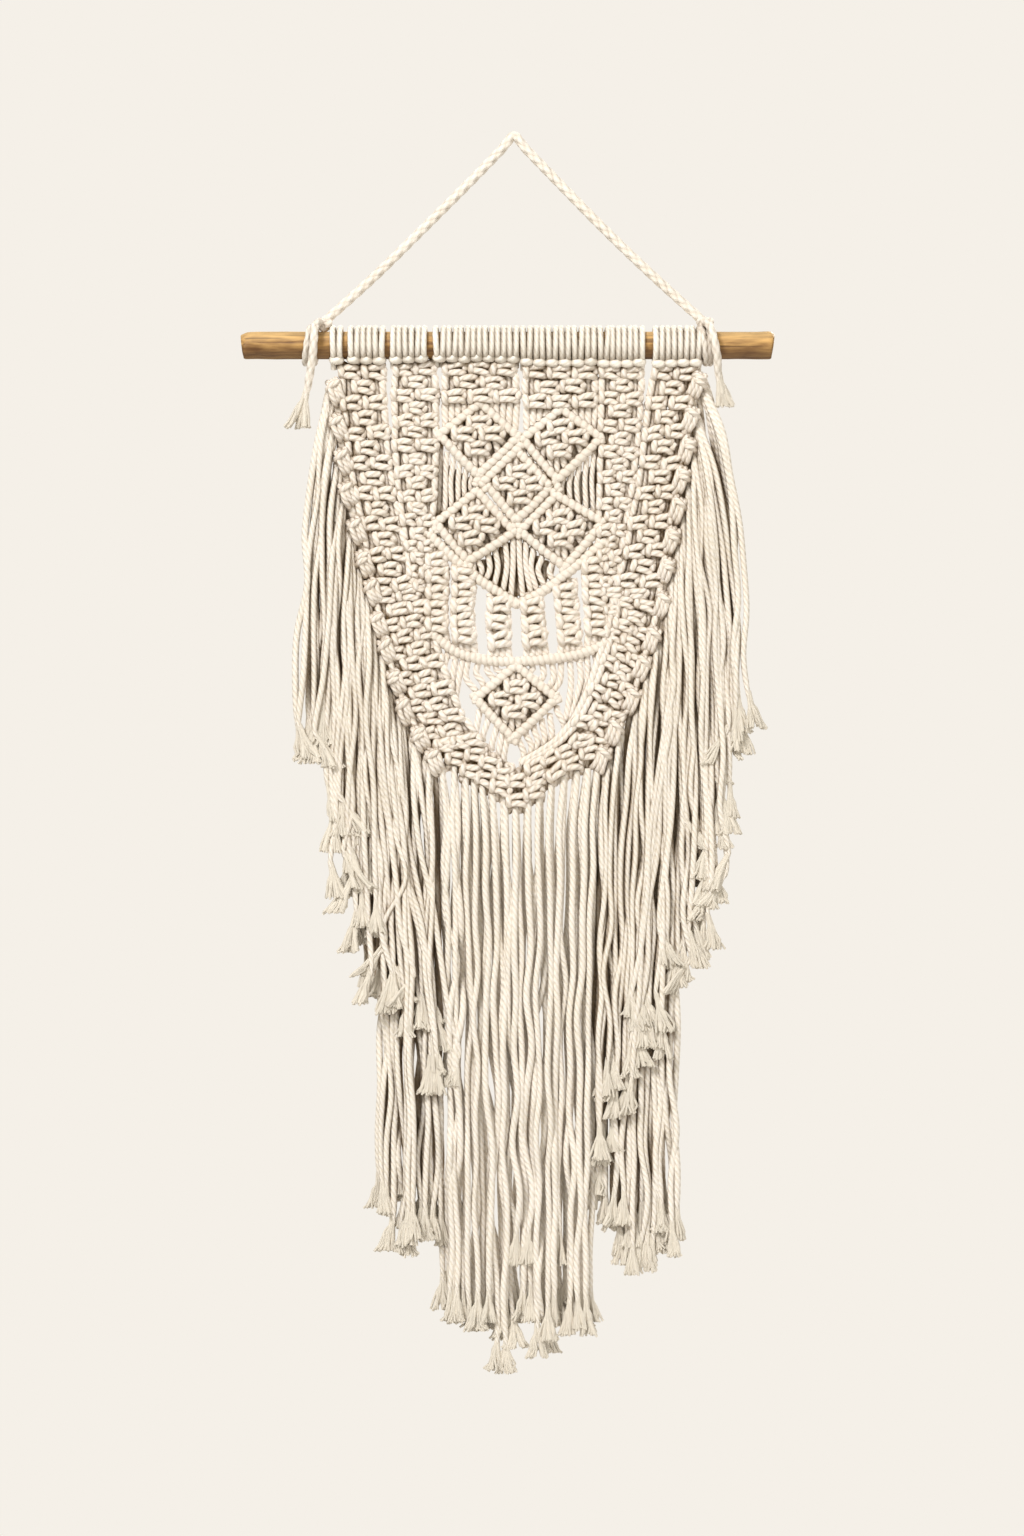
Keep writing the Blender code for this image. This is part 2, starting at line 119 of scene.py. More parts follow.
class Cords:
    """Tubes gathered into one mesh."""

    def __init__(self, name, spacing=0.0022, sides=8):
        self.name = name
        self.spacing = spacing
        self.sides = sides
        self.corners = []
        self.faces = []
        self.uvs = []
        self.ply_groove_shade = []
        self.count = 0

    def add(self, points, width, lobes=None, smooth=True):
        """One tube, whose width may change along it. lobes: plies, metres for one turn of a ply, groove."""
        path = run(points, self.spacing) if smooth else np.asarray(points, float)
        n = len(path)
        sides = self.sides
        widths = np.interp(np.linspace(0, 1, n), np.linspace(0, 1, np.size(width)), np.atleast_1d(width))
        ahead = np.gradient(path, axis=0)
        ahead /= np.linalg.norm(ahead, axis=1)[:, None]
        side = np.cross(ahead[0], (0.0, 1.0, 0.0))
        if np.linalg.norm(side) < 0.1:
            side = np.cross(ahead[0], (1.0, 0.0, 0.0))
        across = np.empty_like(path)
        for k in range(n):
            side = side - ahead[k] * side.dot(ahead[k])
            side /= np.linalg.norm(side)
            across[k] = side
        up = np.cross(ahead, across)
        along = np.concatenate([[0], np.cumsum(np.linalg.norm(np.diff(path, axis=0), axis=1))])
        fine = np.linspace(0, n - 1, max(n, round(along[-1] / LAID_STEP)))
        laid.append(np.column_stack([np.interp(fine, np.arange(n), line) for line in (*path.T, widths)]))
        turn = 2 * math.pi * np.arange(sides) / sides
        reach = np.repeat(widths[:, None] / 2, sides, axis=1)
        groove = np.zeros_like(reach)
        if lobes:
            plies, lay, cut = lobes
            wind = turn[None, :] - 2 * math.pi * along[:, None] / lay
            groove = 1 - np.abs(np.cos(plies / 2 * wind)) ** 0.55
            reach = reach * (1 - cut * groove)
        # The ply grooves' depth is kept as painted shade in the grooves.
        self.ply_groove_shade.append((groove ** 1.5).ravel())
        ring = (np.cos(turn)[None, :, None] * across[:, None, :]
                + np.sin(turn)[None, :, None] * up[:, None, :])
        self.corners.append((path[:, None, :] + ring * reach[:, :, None]).reshape(-1, 3))
        i, j = np.meshgrid(np.arange(n - 1), np.arange(sides), indexing="ij")
        low = self.count + i * sides
        high = low + sides
        following = (j + 1) % sides
        quads = np.stack([low + j, low + following, high + following, high + j], axis=-1)
        self.faces.extend(quads.reshape(-1, 4).tolist())
        u0, u1 = j / sides, (j + 1) / sides
        v0, v1 = along[i], along[i + 1]
        self.uvs.append(np.stack([u0, v0, u1, v0, u1, v1, u0, v1], axis=-1).reshape(-1, 2))
        rings = self.corners[-1].reshape(n, sides, 3)
        self.count += n * sides
        for ring, order in ((0, -1), (n - 1, 1)):      # ends with corners of their own shade flat
            self.corners.append(rings[ring])
            self.ply_groove_shade.append(np.zeros(sides))
            self.faces.append(list(range(self.count, self.count + sides))[::order])
            self.uvs.append(np.full((sides, 2), (0.0, along[ring])))
            self.count += sides

    def make(self, material):
        """The mesh object."""
        mesh = bpy.data.meshes.new(self.name)
        mesh.from_pydata(np.vstack(self.corners).tolist(), [], self.faces)
        layer = mesh.uv_layers.new(name="cord")
        layer.data.foreach_set("uv", np.vstack(self.uvs).ravel())
        # Painted shade: the attribute starts with the ply grooves, and the hollows are added to it later.
        hollow_shade = mesh.attributes.new("hollow_shade", "FLOAT", "POINT")
        hollow_shade.data.foreach_set("value", np.concatenate(self.ply_groove_shade).astype(np.float32))
        mesh.shade_smooth()
        mesh.materials.append(material)
        obj = bpy.data.objects.new(self.name, mesh)
        bpy.context.scene.collection.objects.link(obj)
        triangles = sum(len(face) - 2 for face in self.faces)
        print(f"{self.name}: {triangles} triangles")
        return obj


# %% [markdown]
# ## Materials
# One small class lets sockets be added and multiplied like numbers, so that each material reads
# as the formula it is.

# %% material language
class Value:
    """A socket that takes part in sums."""

    def __init__(self, look, socket):
        self.look = look
        self.socket = socket

    def math(self, operation, *others):
        return self.look.node("ShaderNodeMath", {"operation": operation}, [self, *others])

    def __add__(self, other):
        return self.math("ADD", other)

    def __sub__(self, other):
        return self.math("SUBTRACT", other)

    def __mul__(self, other):
        return self.math("MULTIPLY", other)

    def __truediv__(self, other):
        return self.math("DIVIDE", other)

    def __rsub__(self, other):
        return self.look.number(other).math("SUBTRACT", self)

    __radd__ = __add__
    __rmul__ = __mul__

    def clamped(self):
        """The value held between 0 and 1."""
        return self.math("MAXIMUM", 0.0).math("MINIMUM", 1.0)


class Look:
    """A material, or the world, as it is built."""

    def __init__(self, owner, shader="Principled BSDF"):
        owner.use_nodes = True
        self.owner = owner
        self.tree = owner.node_tree
        self.shader = self.tree.nodes[shader]

    def connect(self, socket, value):
        """Gives a socket a value or a link."""
        if isinstance(value, Value):
            self.tree.links.new(value.socket, socket)
        else:
            socket.default_value = value

    def node(self, kind, settings=None, inputs=None, output=0):
        """Any node: its settings, its inputs in order or by name, and the output wanted."""
        made = self.tree.nodes.new(kind)
        for key, value in (settings or {}).items():
            setattr(made, key, value)
        named = inputs.items() if isinstance(inputs, dict) else enumerate(inputs or ())
        for key, value in named:
            self.connect(made.inputs[key], value)
        return Value(self, made.outputs[output])

    def number(self, value):
        """A number as a socket."""
        return self.node("ShaderNodeMath", {"operation": "ADD"}, [value, 0.0])

    def mix(self, amount, low, high):
        made = self.tree.nodes.new("ShaderNodeMix")
        made.data_type = "RGBA"
        self.connect(made.inputs[0], amount)
        self.connect(made.inputs[6], low)
        self.connect(made.inputs[7], high)
        return Value(self, made.outputs[2])

    def noise(self, where, scale, detail=2.0):
        return self.node("ShaderNodeTexNoise", {}, {"Vector": where, "Scale": scale, "Detail": detail})

    def place(self):
        """The object's own coordinates."""
        return self.node("ShaderNodeTexCoord", output=3)

    def split(self, vector):
        """The three parts of a vector."""
        parts = self.node("ShaderNodeSeparateXYZ", {}, [vector])
        return [Value(self, output) for output in parts.socket.node.outputs]

    def join(self, *parts):
        return self.node("ShaderNodeCombineXYZ", {}, parts)

    def bump(self, height, strength, distance):
        inputs = {"Strength": strength, "Distance": distance, "Height": height}
        return self.node("ShaderNodeBump", {}, inputs)

    def finish(self, **inputs):
        for key, value in inputs.items():
            self.connect(self.shader.inputs[key.replace("_", " ")], value)
        return self.owner


# %% cotton
# Painted shade: the brown that the cord is painted in its hollows and ply grooves.
PAINTED_SHADE_BROWN = (0.19, 0.11, 0.035, 1)
PLIES = 3.0


def with_painted_shade(look, colour):
    """Painted shade: the cord's colour goes brown in the hollows between knots and in the ply grooves, where
    shade falls.
    """
    hollow_shade = look.node("ShaderNodeAttribute", {"attribute_name": "hollow_shade"}, output=2)
    return look.mix(hollow_shade * 0.95, colour, PAINTED_SHADE_BROWN)


def cotton(name, pitch, light, dark, groove):
    """Three-ply cotton rope: plies wind round the cord, pitch metres apart along it."""
    look = Look(bpy.data.materials.new(name))
    place = look.place()
    turns, along, _ = look.split(look.node("ShaderNodeUVMap", {"uv_map": "cord"}))
    ply = (turns * PLIES + along / pitch).math("FRACT")
    crown = (ply * math.pi).math("SINE").math("POWER", 1.3)
    fibre = look.noise(look.join(ply * PLIES, along * 120.0, look.noise(place, 40.0) * 3.0), 2.0, 3.0)
    drift = look.noise(place, 24.0, 2.0)
    patch = look.noise(place, 230.0, 2.0)
    # Painted shade: the colour goes dark in the grooves between plies; the three noises are the cotton's own
    # random tone.
    groove_shade_and_tone = crown * groove + fibre * 0.4 + drift * 0.4 + patch * 0.35 - groove * 0.8
    colour = look.mix((groove_shade_and_tone + 0.2).clamped(), dark, light)
    bump = look.bump(crown * groove + fibre * 0.22 + patch * 0.30, 1.0, 0.0013)
    return look.finish(Base_Color=with_painted_shade(look, colour), Roughness=0.9, Normal=bump, Specular_IOR_Level=0.2)


def yarn(name, light, dark):
    """Untwisted cotton: fine fibres run along each lock."""
    look = Look(bpy.data.materials.new(name))
    turns, along, _ = look.split(look.node("ShaderNodeUVMap", {"uv_map": "cord"}))
    fibre = look.noise(look.join(turns * 9.0, along * 90.0, look.noise(look.place(), 60.0) * 4.0), 2.2, 3.0)
    bump = look.bump(fibre, 0.9, 0.0008)
    colour = look.mix(fibre, dark, light)
    return look.finish(Base_Color=colour, Roughness=0.92, Normal=bump, Specular_IOR_Level=0.15)


KNOTTED = cotton("knotted cotton", 0.0046, (0.90, 0.845, 0.805, 1), (0.71, 0.60, 0.465, 1), 0.42)
HITCHED = cotton("hitched cotton", 0.0046, (0.855, 0.80, 0.745, 1), (0.67, 0.565, 0.44, 1), 0.10)
FOLDED = cotton("folded cotton", 0.0050, (0.94, 0.905, 0.86, 1), (0.80, 0.72, 0.60, 1), 0.30)
LOOSE = cotton("loose cotton", 0.0050, (0.88, 0.835, 0.80, 1), (0.66, 0.57, 0.42, 1), 0.36)
ROPE = cotton("hanging cord cotton", 0.0093, (0.90, 0.85, 0.80, 1), (0.74, 0.65, 0.54, 1), 0.40)
FRAYED = yarn("frayed cotton", (0.87, 0.825, 0.765, 1), (0.67, 0.60, 0.49, 1))
print("cotton materials made")

# %% [markdown]
# ## Square knots
# A square knot ties two cords round two others. Here the leading cord comes in at the upper right,
# crosses in front to the left, turns, and crosses back to leave at the lower right. The other cord
# covers that turn at the left, which shows as an upright loop, and crosses behind. The tables say
# where each passes: across in cord pitches, down in knot heights, and depth in knot depths.

# %% square knots
LEADER = (
    (1.50, -0.50, 0.00), (1.44, -0.36, -0.50), (0.90, -0.31, -1.00), (0.10, -0.30, -1.25),
    (-0.75, -0.24, -1.00), (-1.38, -0.15, -0.40), (-1.60, 0.00, -0.10), (-1.38, 0.15, -0.40),
    (-0.75, 0.20, -1.00), (0.10, 0.23, -1.25), (0.90, 0.30, -1.00), (1.44, 0.40, -0.50), (1.50, 0.50, 0.00),
)
FOLLOWER = (
    (-1.50, -0.50, 0.00), (-1.55, -0.34, -0.85), (-1.52, -0.02, -1.40), (-1.50, 0.27, -0.95),
    (-1.10, 0.30, 0.20), (-0.30, 0.10, 1.00), (0.60, -0.10, 1.00), (1.30, -0.24, 0.40),
    (1.66, -0.18, -0.45), (1.60, 0.00, -0.90), (1.48, 0.14, -0.30), (1.00, 0.22, 0.70),
    (0.00, 0.30, 1.00), (-0.90, 0.38, 0.60), (-1.48, 0.50, 0.00),
)
FILLERS = (-0.5, 0.5)      # the two cords in the middle
print("a square knot passes", len(LEADER) + len(FOLLOWER), "places")


class Weave:
    """Cords side by side that are carried down from knot to knot."""

    def __init__(self, tops):
        self.routes = [[top] for top in tops]

    def knot(self, first, centre, across, down):
        """A square knot of four cords. across is one cord's pitch and down the knot's height."""
        centre = centre + rng.normal(0, 0.00050, 3) * (1, 0.9, 1)
        across = across * rng.uniform(0.95, 1.05) + down * rng.normal(-0.014, 0.045)
        depth = np.array((0.0, KNOT_DEPTH * rng.uniform(0.92, 1.08), 0.0))
        for strand, table in ((first + 3, LEADER), (first, FOLLOWER)):
            for a, d, y in table:
                stray = rng.normal(0, 0.00030, 3)
                self.routes[strand].append(centre + across * a + down * d + depth * y + stray)
        for strand, a in zip((first + 1, first + 2), FILLERS):
            for d in (-0.36, 0.0, 0.36):
                self.routes[strand].append(centre + across * a + down * d)

    def rest(self, strand, place):
        """A place that a cord passes between knots."""
        self.routes[strand].append(place)

    def lay(self, cords, bottoms, width=CORD):
        """Lays all cords of the weave, down to where they end."""
        for route, bottom in zip(self.routes, bottoms):
            cords.add([*route, bottom], width * (1 + rng.normal(0, 0.05, len(route))))


def edge_run(sections, left):
    """The left or right edge of a band's sections as chart places."""
    return np.array([at(*(row[:2] if left else row[2:])) for row in sections])


def along_edge(edge, share):
    """The place at a share of an edge's length."""
    steps = np.concatenate([[0], np.cumsum(np.linalg.norm(np.diff(edge, axis=0), axis=1))])
    return np.array([np.interp(share * steps[-1], steps, edge[:, k]) for k in range(3)])


def band(cords, sections, strands, rows, tops=None, bottoms=None, lags=(1.0, 1.0)):
    """A band of alternating square knots: every second row is shifted by half a knot.

    A lag over 1 holds the rows back along the left or right edge, which tilts them.
    """
    left, right = edge_run(sections, True), edge_run(sections, False)

    def place(strand, row):
        share = min(max(row / rows, 0.0), 1.0)
        ends = along_edge(left, share ** lags[0]), along_edge(right, share ** lags[1])
        return ends[0] + (ends[1] - ends[0]) * strand / strands

    weave = Weave(tops or [place(s + 0.5, 0) + (0, 0.001, 0.004) for s in range(strands)])
    for row in range(rows):
        middle = row + 0.5
        across = (place(strands, middle) - place(0, middle)) / strands
        down = place(strands / 2, row + 1) - place(strands / 2, row)
        knots = range(row % 2 * 2, strands - 3, 4)
        for knot in knots:
            weave.knot(knot, place(knot + 2, middle), across * 1.06, down)
        for strand in range(strands):
            if not any(knot <= strand < knot + 4 for knot in knots):
                outer = strand in (0, strands - 1)
                outward = (0.15 if outer else 0.0) * (1 if strand else -1)
                for step in (0.12, 0.5, 0.88):
                    rest = place(strand + 0.5 + outward, row + step)
                    weave.rest(strand, rest - (0, 0.0022 if outer else -0.0006, 0))
    weave.lay(cords, bottoms or [place(s + 0.5, rows) + (0, 0.001, -0.004) for s in range(strands)])


# %% [markdown]
# ## Heading
# Each cord is folded in half and hitched to the dowel with a lark's head: both ends lie over the
# dowel side by side and go down behind the fold, which shows as a short bar under it.

# %% heading
# Groups of lark's heads: first centre, last centre, knots, row of their bars.
HEADING = (
    (-177, -177, 1, 220), (-159.5, -135, 3, 220), (-117.5, -93, 3, 219), (-74, -1, 7, 218),
    (12.5, 76.5, 6, 222), (89.5, 124.5, 4, 223), (144.5, 181, 4, 223),
)
HALF = 3.1                 # from a lark's head's centre to each of its two cords
FOLDED_CORD = 0.0043       # the cord over the dowel, drawn tight


def round_dowel(radius, degrees):
    """Row and depth of a place round the dowel, in degrees up from the front."""
    angle = math.radians(degrees)
    return DOWEL_ROW - radius / SQUARE * math.sin(angle), -1000 * radius * math.cos(angle)


def larks_head(cords, column, bar_row):
    """One cord over the dowel, from hanging end to hanging end."""
    leans = rng.normal(0, 0.5, 2)
    bar_row = bar_row + rng.uniform(-0.8, 0.8)
    legs = []
    for side, lean in zip((-1, 1), leans):
        leg = [at(column + side * HALF, bar_row + 8, 0.2), at(column + side * HALF, bar_row - 1, -3.4)]
        for degrees in (-35, 0, 40, 90, 140, 190, 232):
            aside = side * (HALF + 0.25 * math.sin(math.radians(degrees)))
            aside += lean * math.cos(math.radians(degrees - 60))
            leg.append(at(column + aside, *round_dowel(DOWEL_RADIUS + CORD / 2, degrees)))
        leg.append(at(column + side * (HALF + 0.6), bar_row - 2.5, -1.5))
        legs.append(leg)
    bar = [at(column + aside, bar_row + drop, depth)
           for aside, drop, depth in ((-3.8, 0, -5.8), (0, 0.4, -8.2), (3.8, 0, -5.8))]
    width = np.full(41, FOLDED_CORD)
    width[19:22] = 0.0054, 0.0063, 0.0054
    cords.add([*legs[0], *bar, *legs[1][::-1]], width)


heading = Cords("heading", 0.0024)
top_columns = []
for first, last, knots, bar_row in HEADING:
    for index in range(knots):
        column = first + (last - first) * index / max(knots - 1, 1)
        larks_head(heading, column, bar_row)
        top_columns += [(column - HALF, bar_row), (column + HALF, bar_row)]
heading_piece = heading.make(FOLDED)


def tops(first, count):
    """Where a run of the heading's cord ends hang from."""
    return [at(column, row + 2, 0.2) for column, row in top_columns[first:first + count]]


# %% [markdown]
# ## Knotted bands
# Each row of a table is one section of a band: its left edge and its right edge, as column and row.
# The four upper bands hang from the heading. The two lower ones carry on as the arms of the V.

# %% knotted bands
OUTER_LEFT = (
    (-175, 224, -131, 224), (-172, 260, -128, 262), (-168, 300, -125, 302), (-163, 338, -120, 340),
    (-155, 376, -113, 376), (-148, 412, -106, 410), (-142, 452, -98, 450),
)
INNER_LEFT = (
    (-121, 223, -77, 223), (-121, 300, -76, 300), (-117, 352, -78, 352), (-109, 400, -82, 400),
    (-103, 450, -84, 450),
)
ARM_LEFT = (
    (-141, 450, -84, 448), (-136, 480, -79, 478), (-129, 510, -76, 504), (-119, 542, -66, 534),
    (-108, 572, -54, 566), (-92, 599, -38, 592), (-84, 612, -28, 604),
)
OUTER_RIGHT = (
    (139, 226, 183, 226), (133, 260, 176, 262), (128, 300, 171, 302), (123, 338, 166, 340),
    (116, 376, 158, 376), (110, 412, 153, 410), (100, 448, 149, 446),
)
INNER_RIGHT = (
    (86, 226, 130, 226), (85, 290, 127, 290), (84, 350, 119, 350), (83, 400, 110, 400),
    (86, 448, 104, 448),
)
ARM_RIGHT = (
    (86, 448, 148, 446), (91, 480, 143, 478), (90, 508, 135, 506), (80, 536, 126, 536),
    (70, 562, 117, 566), (54, 588, 99, 596), (44, 602, 88, 612),
)
# Single knots that close the V, where both arms meet: column, row and tilt in degrees.
POINT_KNOTS = (
    (-70, 604, -6), (-52, 601, -10), (-58, 618, -14), (-38, 614, -18), (-25, 624, -20),
    (-42, 631, -20), (-12, 633, -22), (-28, 640, -22), (-13, 648, -16), (3, 640, 4),
    (21, 625, 24), (23, 639, 20), (34, 617, 28), (41, 631, 22), (52, 610, 26),
    (58, 623, 22), (68, 601, 26), (74, 613, 20), (18, 650, 14), (3, 659, 0),
)
CENTRE_LEFT = ((-71, 221, 4, 221), (-71, 263, 4, 263))
CENTRE_RIGHT = ((9, 225, 83, 225), (9, 268, 83, 268))


def line_places(ends, count):
    """Evenly spaced places between two chart places, not at the ends themselves."""
    (a, b), (c, d) = ends
    return [at(a + (c - a) * (k + 0.5) / count, b + (d - b) * (k + 0.5) / count) for k in range(count)]


def on_bar(column, bar, depth=0.0):
    """The place at this column on a bar that is bent through a few chart places."""
    return at(column, np.interp(column, *zip(*bar)), depth)


UPPER_ROOF_LEFT = ((-75, 296), (-35, 261), (7, 293))
UPPER_ROOF_RIGHT = ((7, 293), (45, 267), (88, 298))
left_bands = Cords("left_bands")
right_bands = Cords("right_bands")
centre_bands = Cords("centre_bands")
band(left_bands, OUTER_LEFT, 8, 15, tops(0, 8))
band(left_bands, INNER_LEFT, 8, 18, tops(8, 8))
band(left_bands, ARM_LEFT, 10, 12, lags=(1.0, 1.1))
band(right_bands, OUTER_RIGHT, 8, 15, tops(48, 8))
band(right_bands, INNER_RIGHT, 8, 17, tops(40, 8))
band(right_bands, ARM_RIGHT, 10, 12, lags=(1.4, 1.0))
left_feet = [on_bar(column, UPPER_ROOF_LEFT) for column in np.linspace(-68, 1, 12)]
right_feet = [on_bar(column, UPPER_ROOF_RIGHT) for column in np.linspace(13, 80, 12)]
band(centre_bands, CENTRE_LEFT, 12, 3, tops(16, 12), left_feet)
band(centre_bands, CENTRE_RIGHT, 12, 3, tops(28, 12), right_feet)
left_piece = left_bands.make(KNOTTED)
right_piece = right_bands.make(KNOTTED)
for column, row, tilt in POINT_KNOTS:
    angle = math.radians(tilt)
    across = at(5.6 * math.cos(angle), -5.6 * math.sin(angle))
    down = at(14 * math.sin(angle) * 0.4, 14)
    centre = at(column, row, -0.5 if column % 2 else 0.4)
    upper, lower = ([centre + across * (s - 1.5) + down * reach + (0, 0.003, 0) for s in range(4)]
                    for reach in (-0.85, 0.85))
    weave = Weave(upper)
    weave.knot(0, centre, across, down)
    weave.lay(centre_bands, lower)
centre_piece = centre_bands.make(KNOTTED)

# %% [markdown]
# ## Clove-hitch bars and diamonds
# A bar is a row of cords, each hitched tightly round a holding cord. The hitches lie so close that
# the bar reads as one stout rope with a single groove winding round it, one turn for each hitch.

# %% clove-hitch bars
DIAMOND_BAR = 0.0072       # thickness of a diamond's bars
LONG_BAR = 0.0076          # thickness of the long bars
JOINT = 0.0066             # thickness of the knots where bars meet
BAR_END = 0.0022           # how far a bar runs on past its ends
bars = Cords("hitch_bars", 0.0022, 14)


def unit(vector):
    return vector / np.linalg.norm(vector)


def hitch_bar(route, pitch, thickness, depth=-2.4):
    """A bar of hitches along a route of chart places; pitch in chart squares."""
    places = [at(column, row, depth) for column, row in route]
    first, last = (near + unit(near - far) * BAR_END for near, far in (places[:2], places[:-3:-1]))
    core = run([first, *places, last], 0.00058)
    count = max(16, len(core) // 3)
    widths = thickness * (1 + rng.normal(0, 0.022, count))
    widths[[0, -1]] *= 0.60
    widths[[1, -2]] *= 0.94
    bars.add(core, widths, (1, pitch * SQUARE, 0.22), smooth=False)


# Diamonds: left, top, right and bottom corners, and the hitches' pitch.
DIAMONDS = (
    ((-74, 294), (-34, 262), (4, 296), (-36, 334), 7.4),
    ((9, 298), (47, 268), (87, 297), (43, 339), 7.4),
    ((-78, 382), (-37, 350), (0, 391), (-46, 420), 7.4),
    ((6, 390), (42, 354), (89, 381), (51, 426), 7.4),
    ((-38, 557), (2, 524), (42, 557), (-1, 597), 7.0),
)
# Long bars: route, pitch.
BARS = (
    (((7, 305), (-13, 324), (-32, 343)), 7.2),
    (((6, 313), (21, 330), (35, 345)), 7.2),
    (((-25, 345), (-13, 361), (1, 379)), 7.2),
    (((33, 349), (18, 365), (2, 379)), 7.2),
    (((-84, 394), (-64, 414), (-34, 439), (3, 463)), 6.2),
    (((90, 401), (61, 426), (31, 449), (4, 463)), 6.2),
    (((-82, 492), (-64, 507), (-49, 514), (-29, 519), (0, 521)), 5.6),
    (((94, 499), (78, 509), (51, 516), (26, 519), (3, 521)), 5.6),
)
# Where bars meet, the holding cords are knotted together: column, row, run across and run down.
JOINTS = (
    (4, 299, 0, 9), (-36, 339, -5, 8), (-30, 346, 3, 5), (43, 345, 4, 8), (37, 350, 3, 3), (3, 385, 6, 0),
    (3, 393, 4, 3), (-74, 295, 2, 6), (87, 298, 2, 6), (-79, 386, 2, 8), (90, 386, 2, 9), (-46, 424, 4, 3),
    (51, 430, 4, 3), (3, 462, 7, 0), (-1, 599, 5, 2), (-39, 557, 2, 5), (43, 557, 2, 5),
)
for left, top, right, bottom, pitch in DIAMONDS:
    for start, end in ((left, top), (right, top), (left, bottom), (right, bottom)):
        middle = ((start[0] + end[0]) / 2, (start[1] + end[1]) / 2 + 0.8)
        hitch_bar((start, middle, end), pitch, DIAMOND_BAR)
for route, pitch in BARS:
    hitch_bar(route, pitch, LONG_BAR)
for column, row, across, down in JOINTS:
    hitch_bar([(column + across * end, row + down * end) for end in (-0.5, 0.5)], 6.5, JOINT, -2.0)
bars_piece = bars.make(HITCHED)

# %% [markdown]
# ## Inside the diamonds
# The eight cords of a diamond meet in four square knots: one at the top, two side by side, and one
# at the bottom. The cords that skip a row bow out to the side.

# %% diamond fillings
# Columns and rows of the upper, left, right and lower knot of each diamond, and its corners again.
FILLINGS = (
    (((-36, 283), (-49, 295), (-23, 294), (-36, 307)), DIAMONDS[0][:4]),
    (((46, 287), (34, 297), (60, 298), (46, 310)), DIAMONDS[1][:4]),
    (((5, 331), (-8, 344), (18, 344), (5, 357)), ((-28, 344), (7, 306), (40, 344), (5, 378))),
    (((-39, 372), (-52, 384), (-27, 386), (-42, 397)), DIAMONDS[2][:4]),
    (((46, 376), (34, 388), (60, 388), (46, 400)), DIAMONDS[3][:4]),
    (((1, 546), (-12, 558), (15, 559), (1, 571)), DIAMONDS[4][:4]),
)
BACKING = (0.0040, 0.0066, 0.0074, 0.0074, 0.0074, 0.0066, 0.0040)
fillings = Cords("diamond_knots", 0.0022)
for knots, (left, top, right, bottom) in FILLINGS:
    middle, width = (left[0] + right[0]) / 2, right[0] - left[0]
    upper_bars, lower_bars = (left, top, right), (left, bottom, right)
    columns = [middle + width * 0.37 * (strand - 3.5) / 3.5 for strand in range(8)]
    weave = Weave([on_bar(column, upper_bars) for column in columns])
    for first, (column, row) in zip((2, 0, 4, 2), knots):
        weave.knot(first, at(column, row, -1.0), at(6.4, 0), at(0, 15.5))
    weave.lay(fillings, [on_bar(column, lower_bars) for column in columns])
    # The cords' other halves lie behind and close the places the knots leave open.
    for share in np.linspace(-0.45, 0.45, 10):
        start, end = (on_bar(middle + width * share, bar, -1.6) for bar in (upper_bars, lower_bars))
        sag = (rng.normal(0, 0.0004), 0.0058 - 0.003 * abs(share), 0)
        fillings.add([start, start * 0.8 + end * 0.2 + sag, start * 0.2 + end * 0.8 + sag, end], BACKING)
fillings_piece = fillings.make(KNOTTED)

# %% [markdown]
# ## Braids
# Six sinnets: four cords each, tied in square knots one under another without a gap.

# %% sinnets
# Top column, bottom column, top row, bottom row, knots.
SINNETS = (
    (-77, -77, 412, 497, 5), (-50, -50, 428, 508, 5), (-16, -15, 457, 512, 3),
    (18, 22, 457, 513, 3), (51, 56, 442, 511, 4), (79, 84, 417, 502, 5),
)
SINNET_CORD = 0.0060
sinnets = Cords("sinnets")
pitch = at(5.6, 0)
for top, bottom, first, last, knots in SINNETS:
    weave = Weave([at(top, first - 5) + pitch * (s - 1.5) for s in range(4)])
    height = (last - first - 6) / knots
    for index in range(knots):
        share = (index + 0.5) / knots
        centre = at(top + (bottom - top) * share, first + height * (index + 0.5), -0.4)
        weave.knot(0, centre, pitch, at((bottom - top) / knots, height))
    feet = [at(bottom, last + 10) + pitch * (s - 1.5) * 1.25 for s in range(4)]
    weave.lay(sinnets, feet, SINNET_CORD)
sinnets_piece = sinnets.make(KNOTTED)

# %% [markdown]
# ## Free lengths of cord
# Between two bars the cords run free. Each row of the table is a group: the line it starts on, the
# line it ends on, how many cords, and how far they bow to the right.

# %% free cords
FREE = (
    (((-70, 308), (-38, 336)), ((-72, 374), (-39, 352)), 5, -1.5),
    (((84, 306), (47, 338)), ((84, 374), (44, 352)), 5, -1.5),
    (((-78, 390), (-50, 420)), ((-82, 400), (-56, 424)), 4, 0.0),
    (((56, 426), (88, 388)), ((62, 430), (92, 402)), 4, 0.0),
)
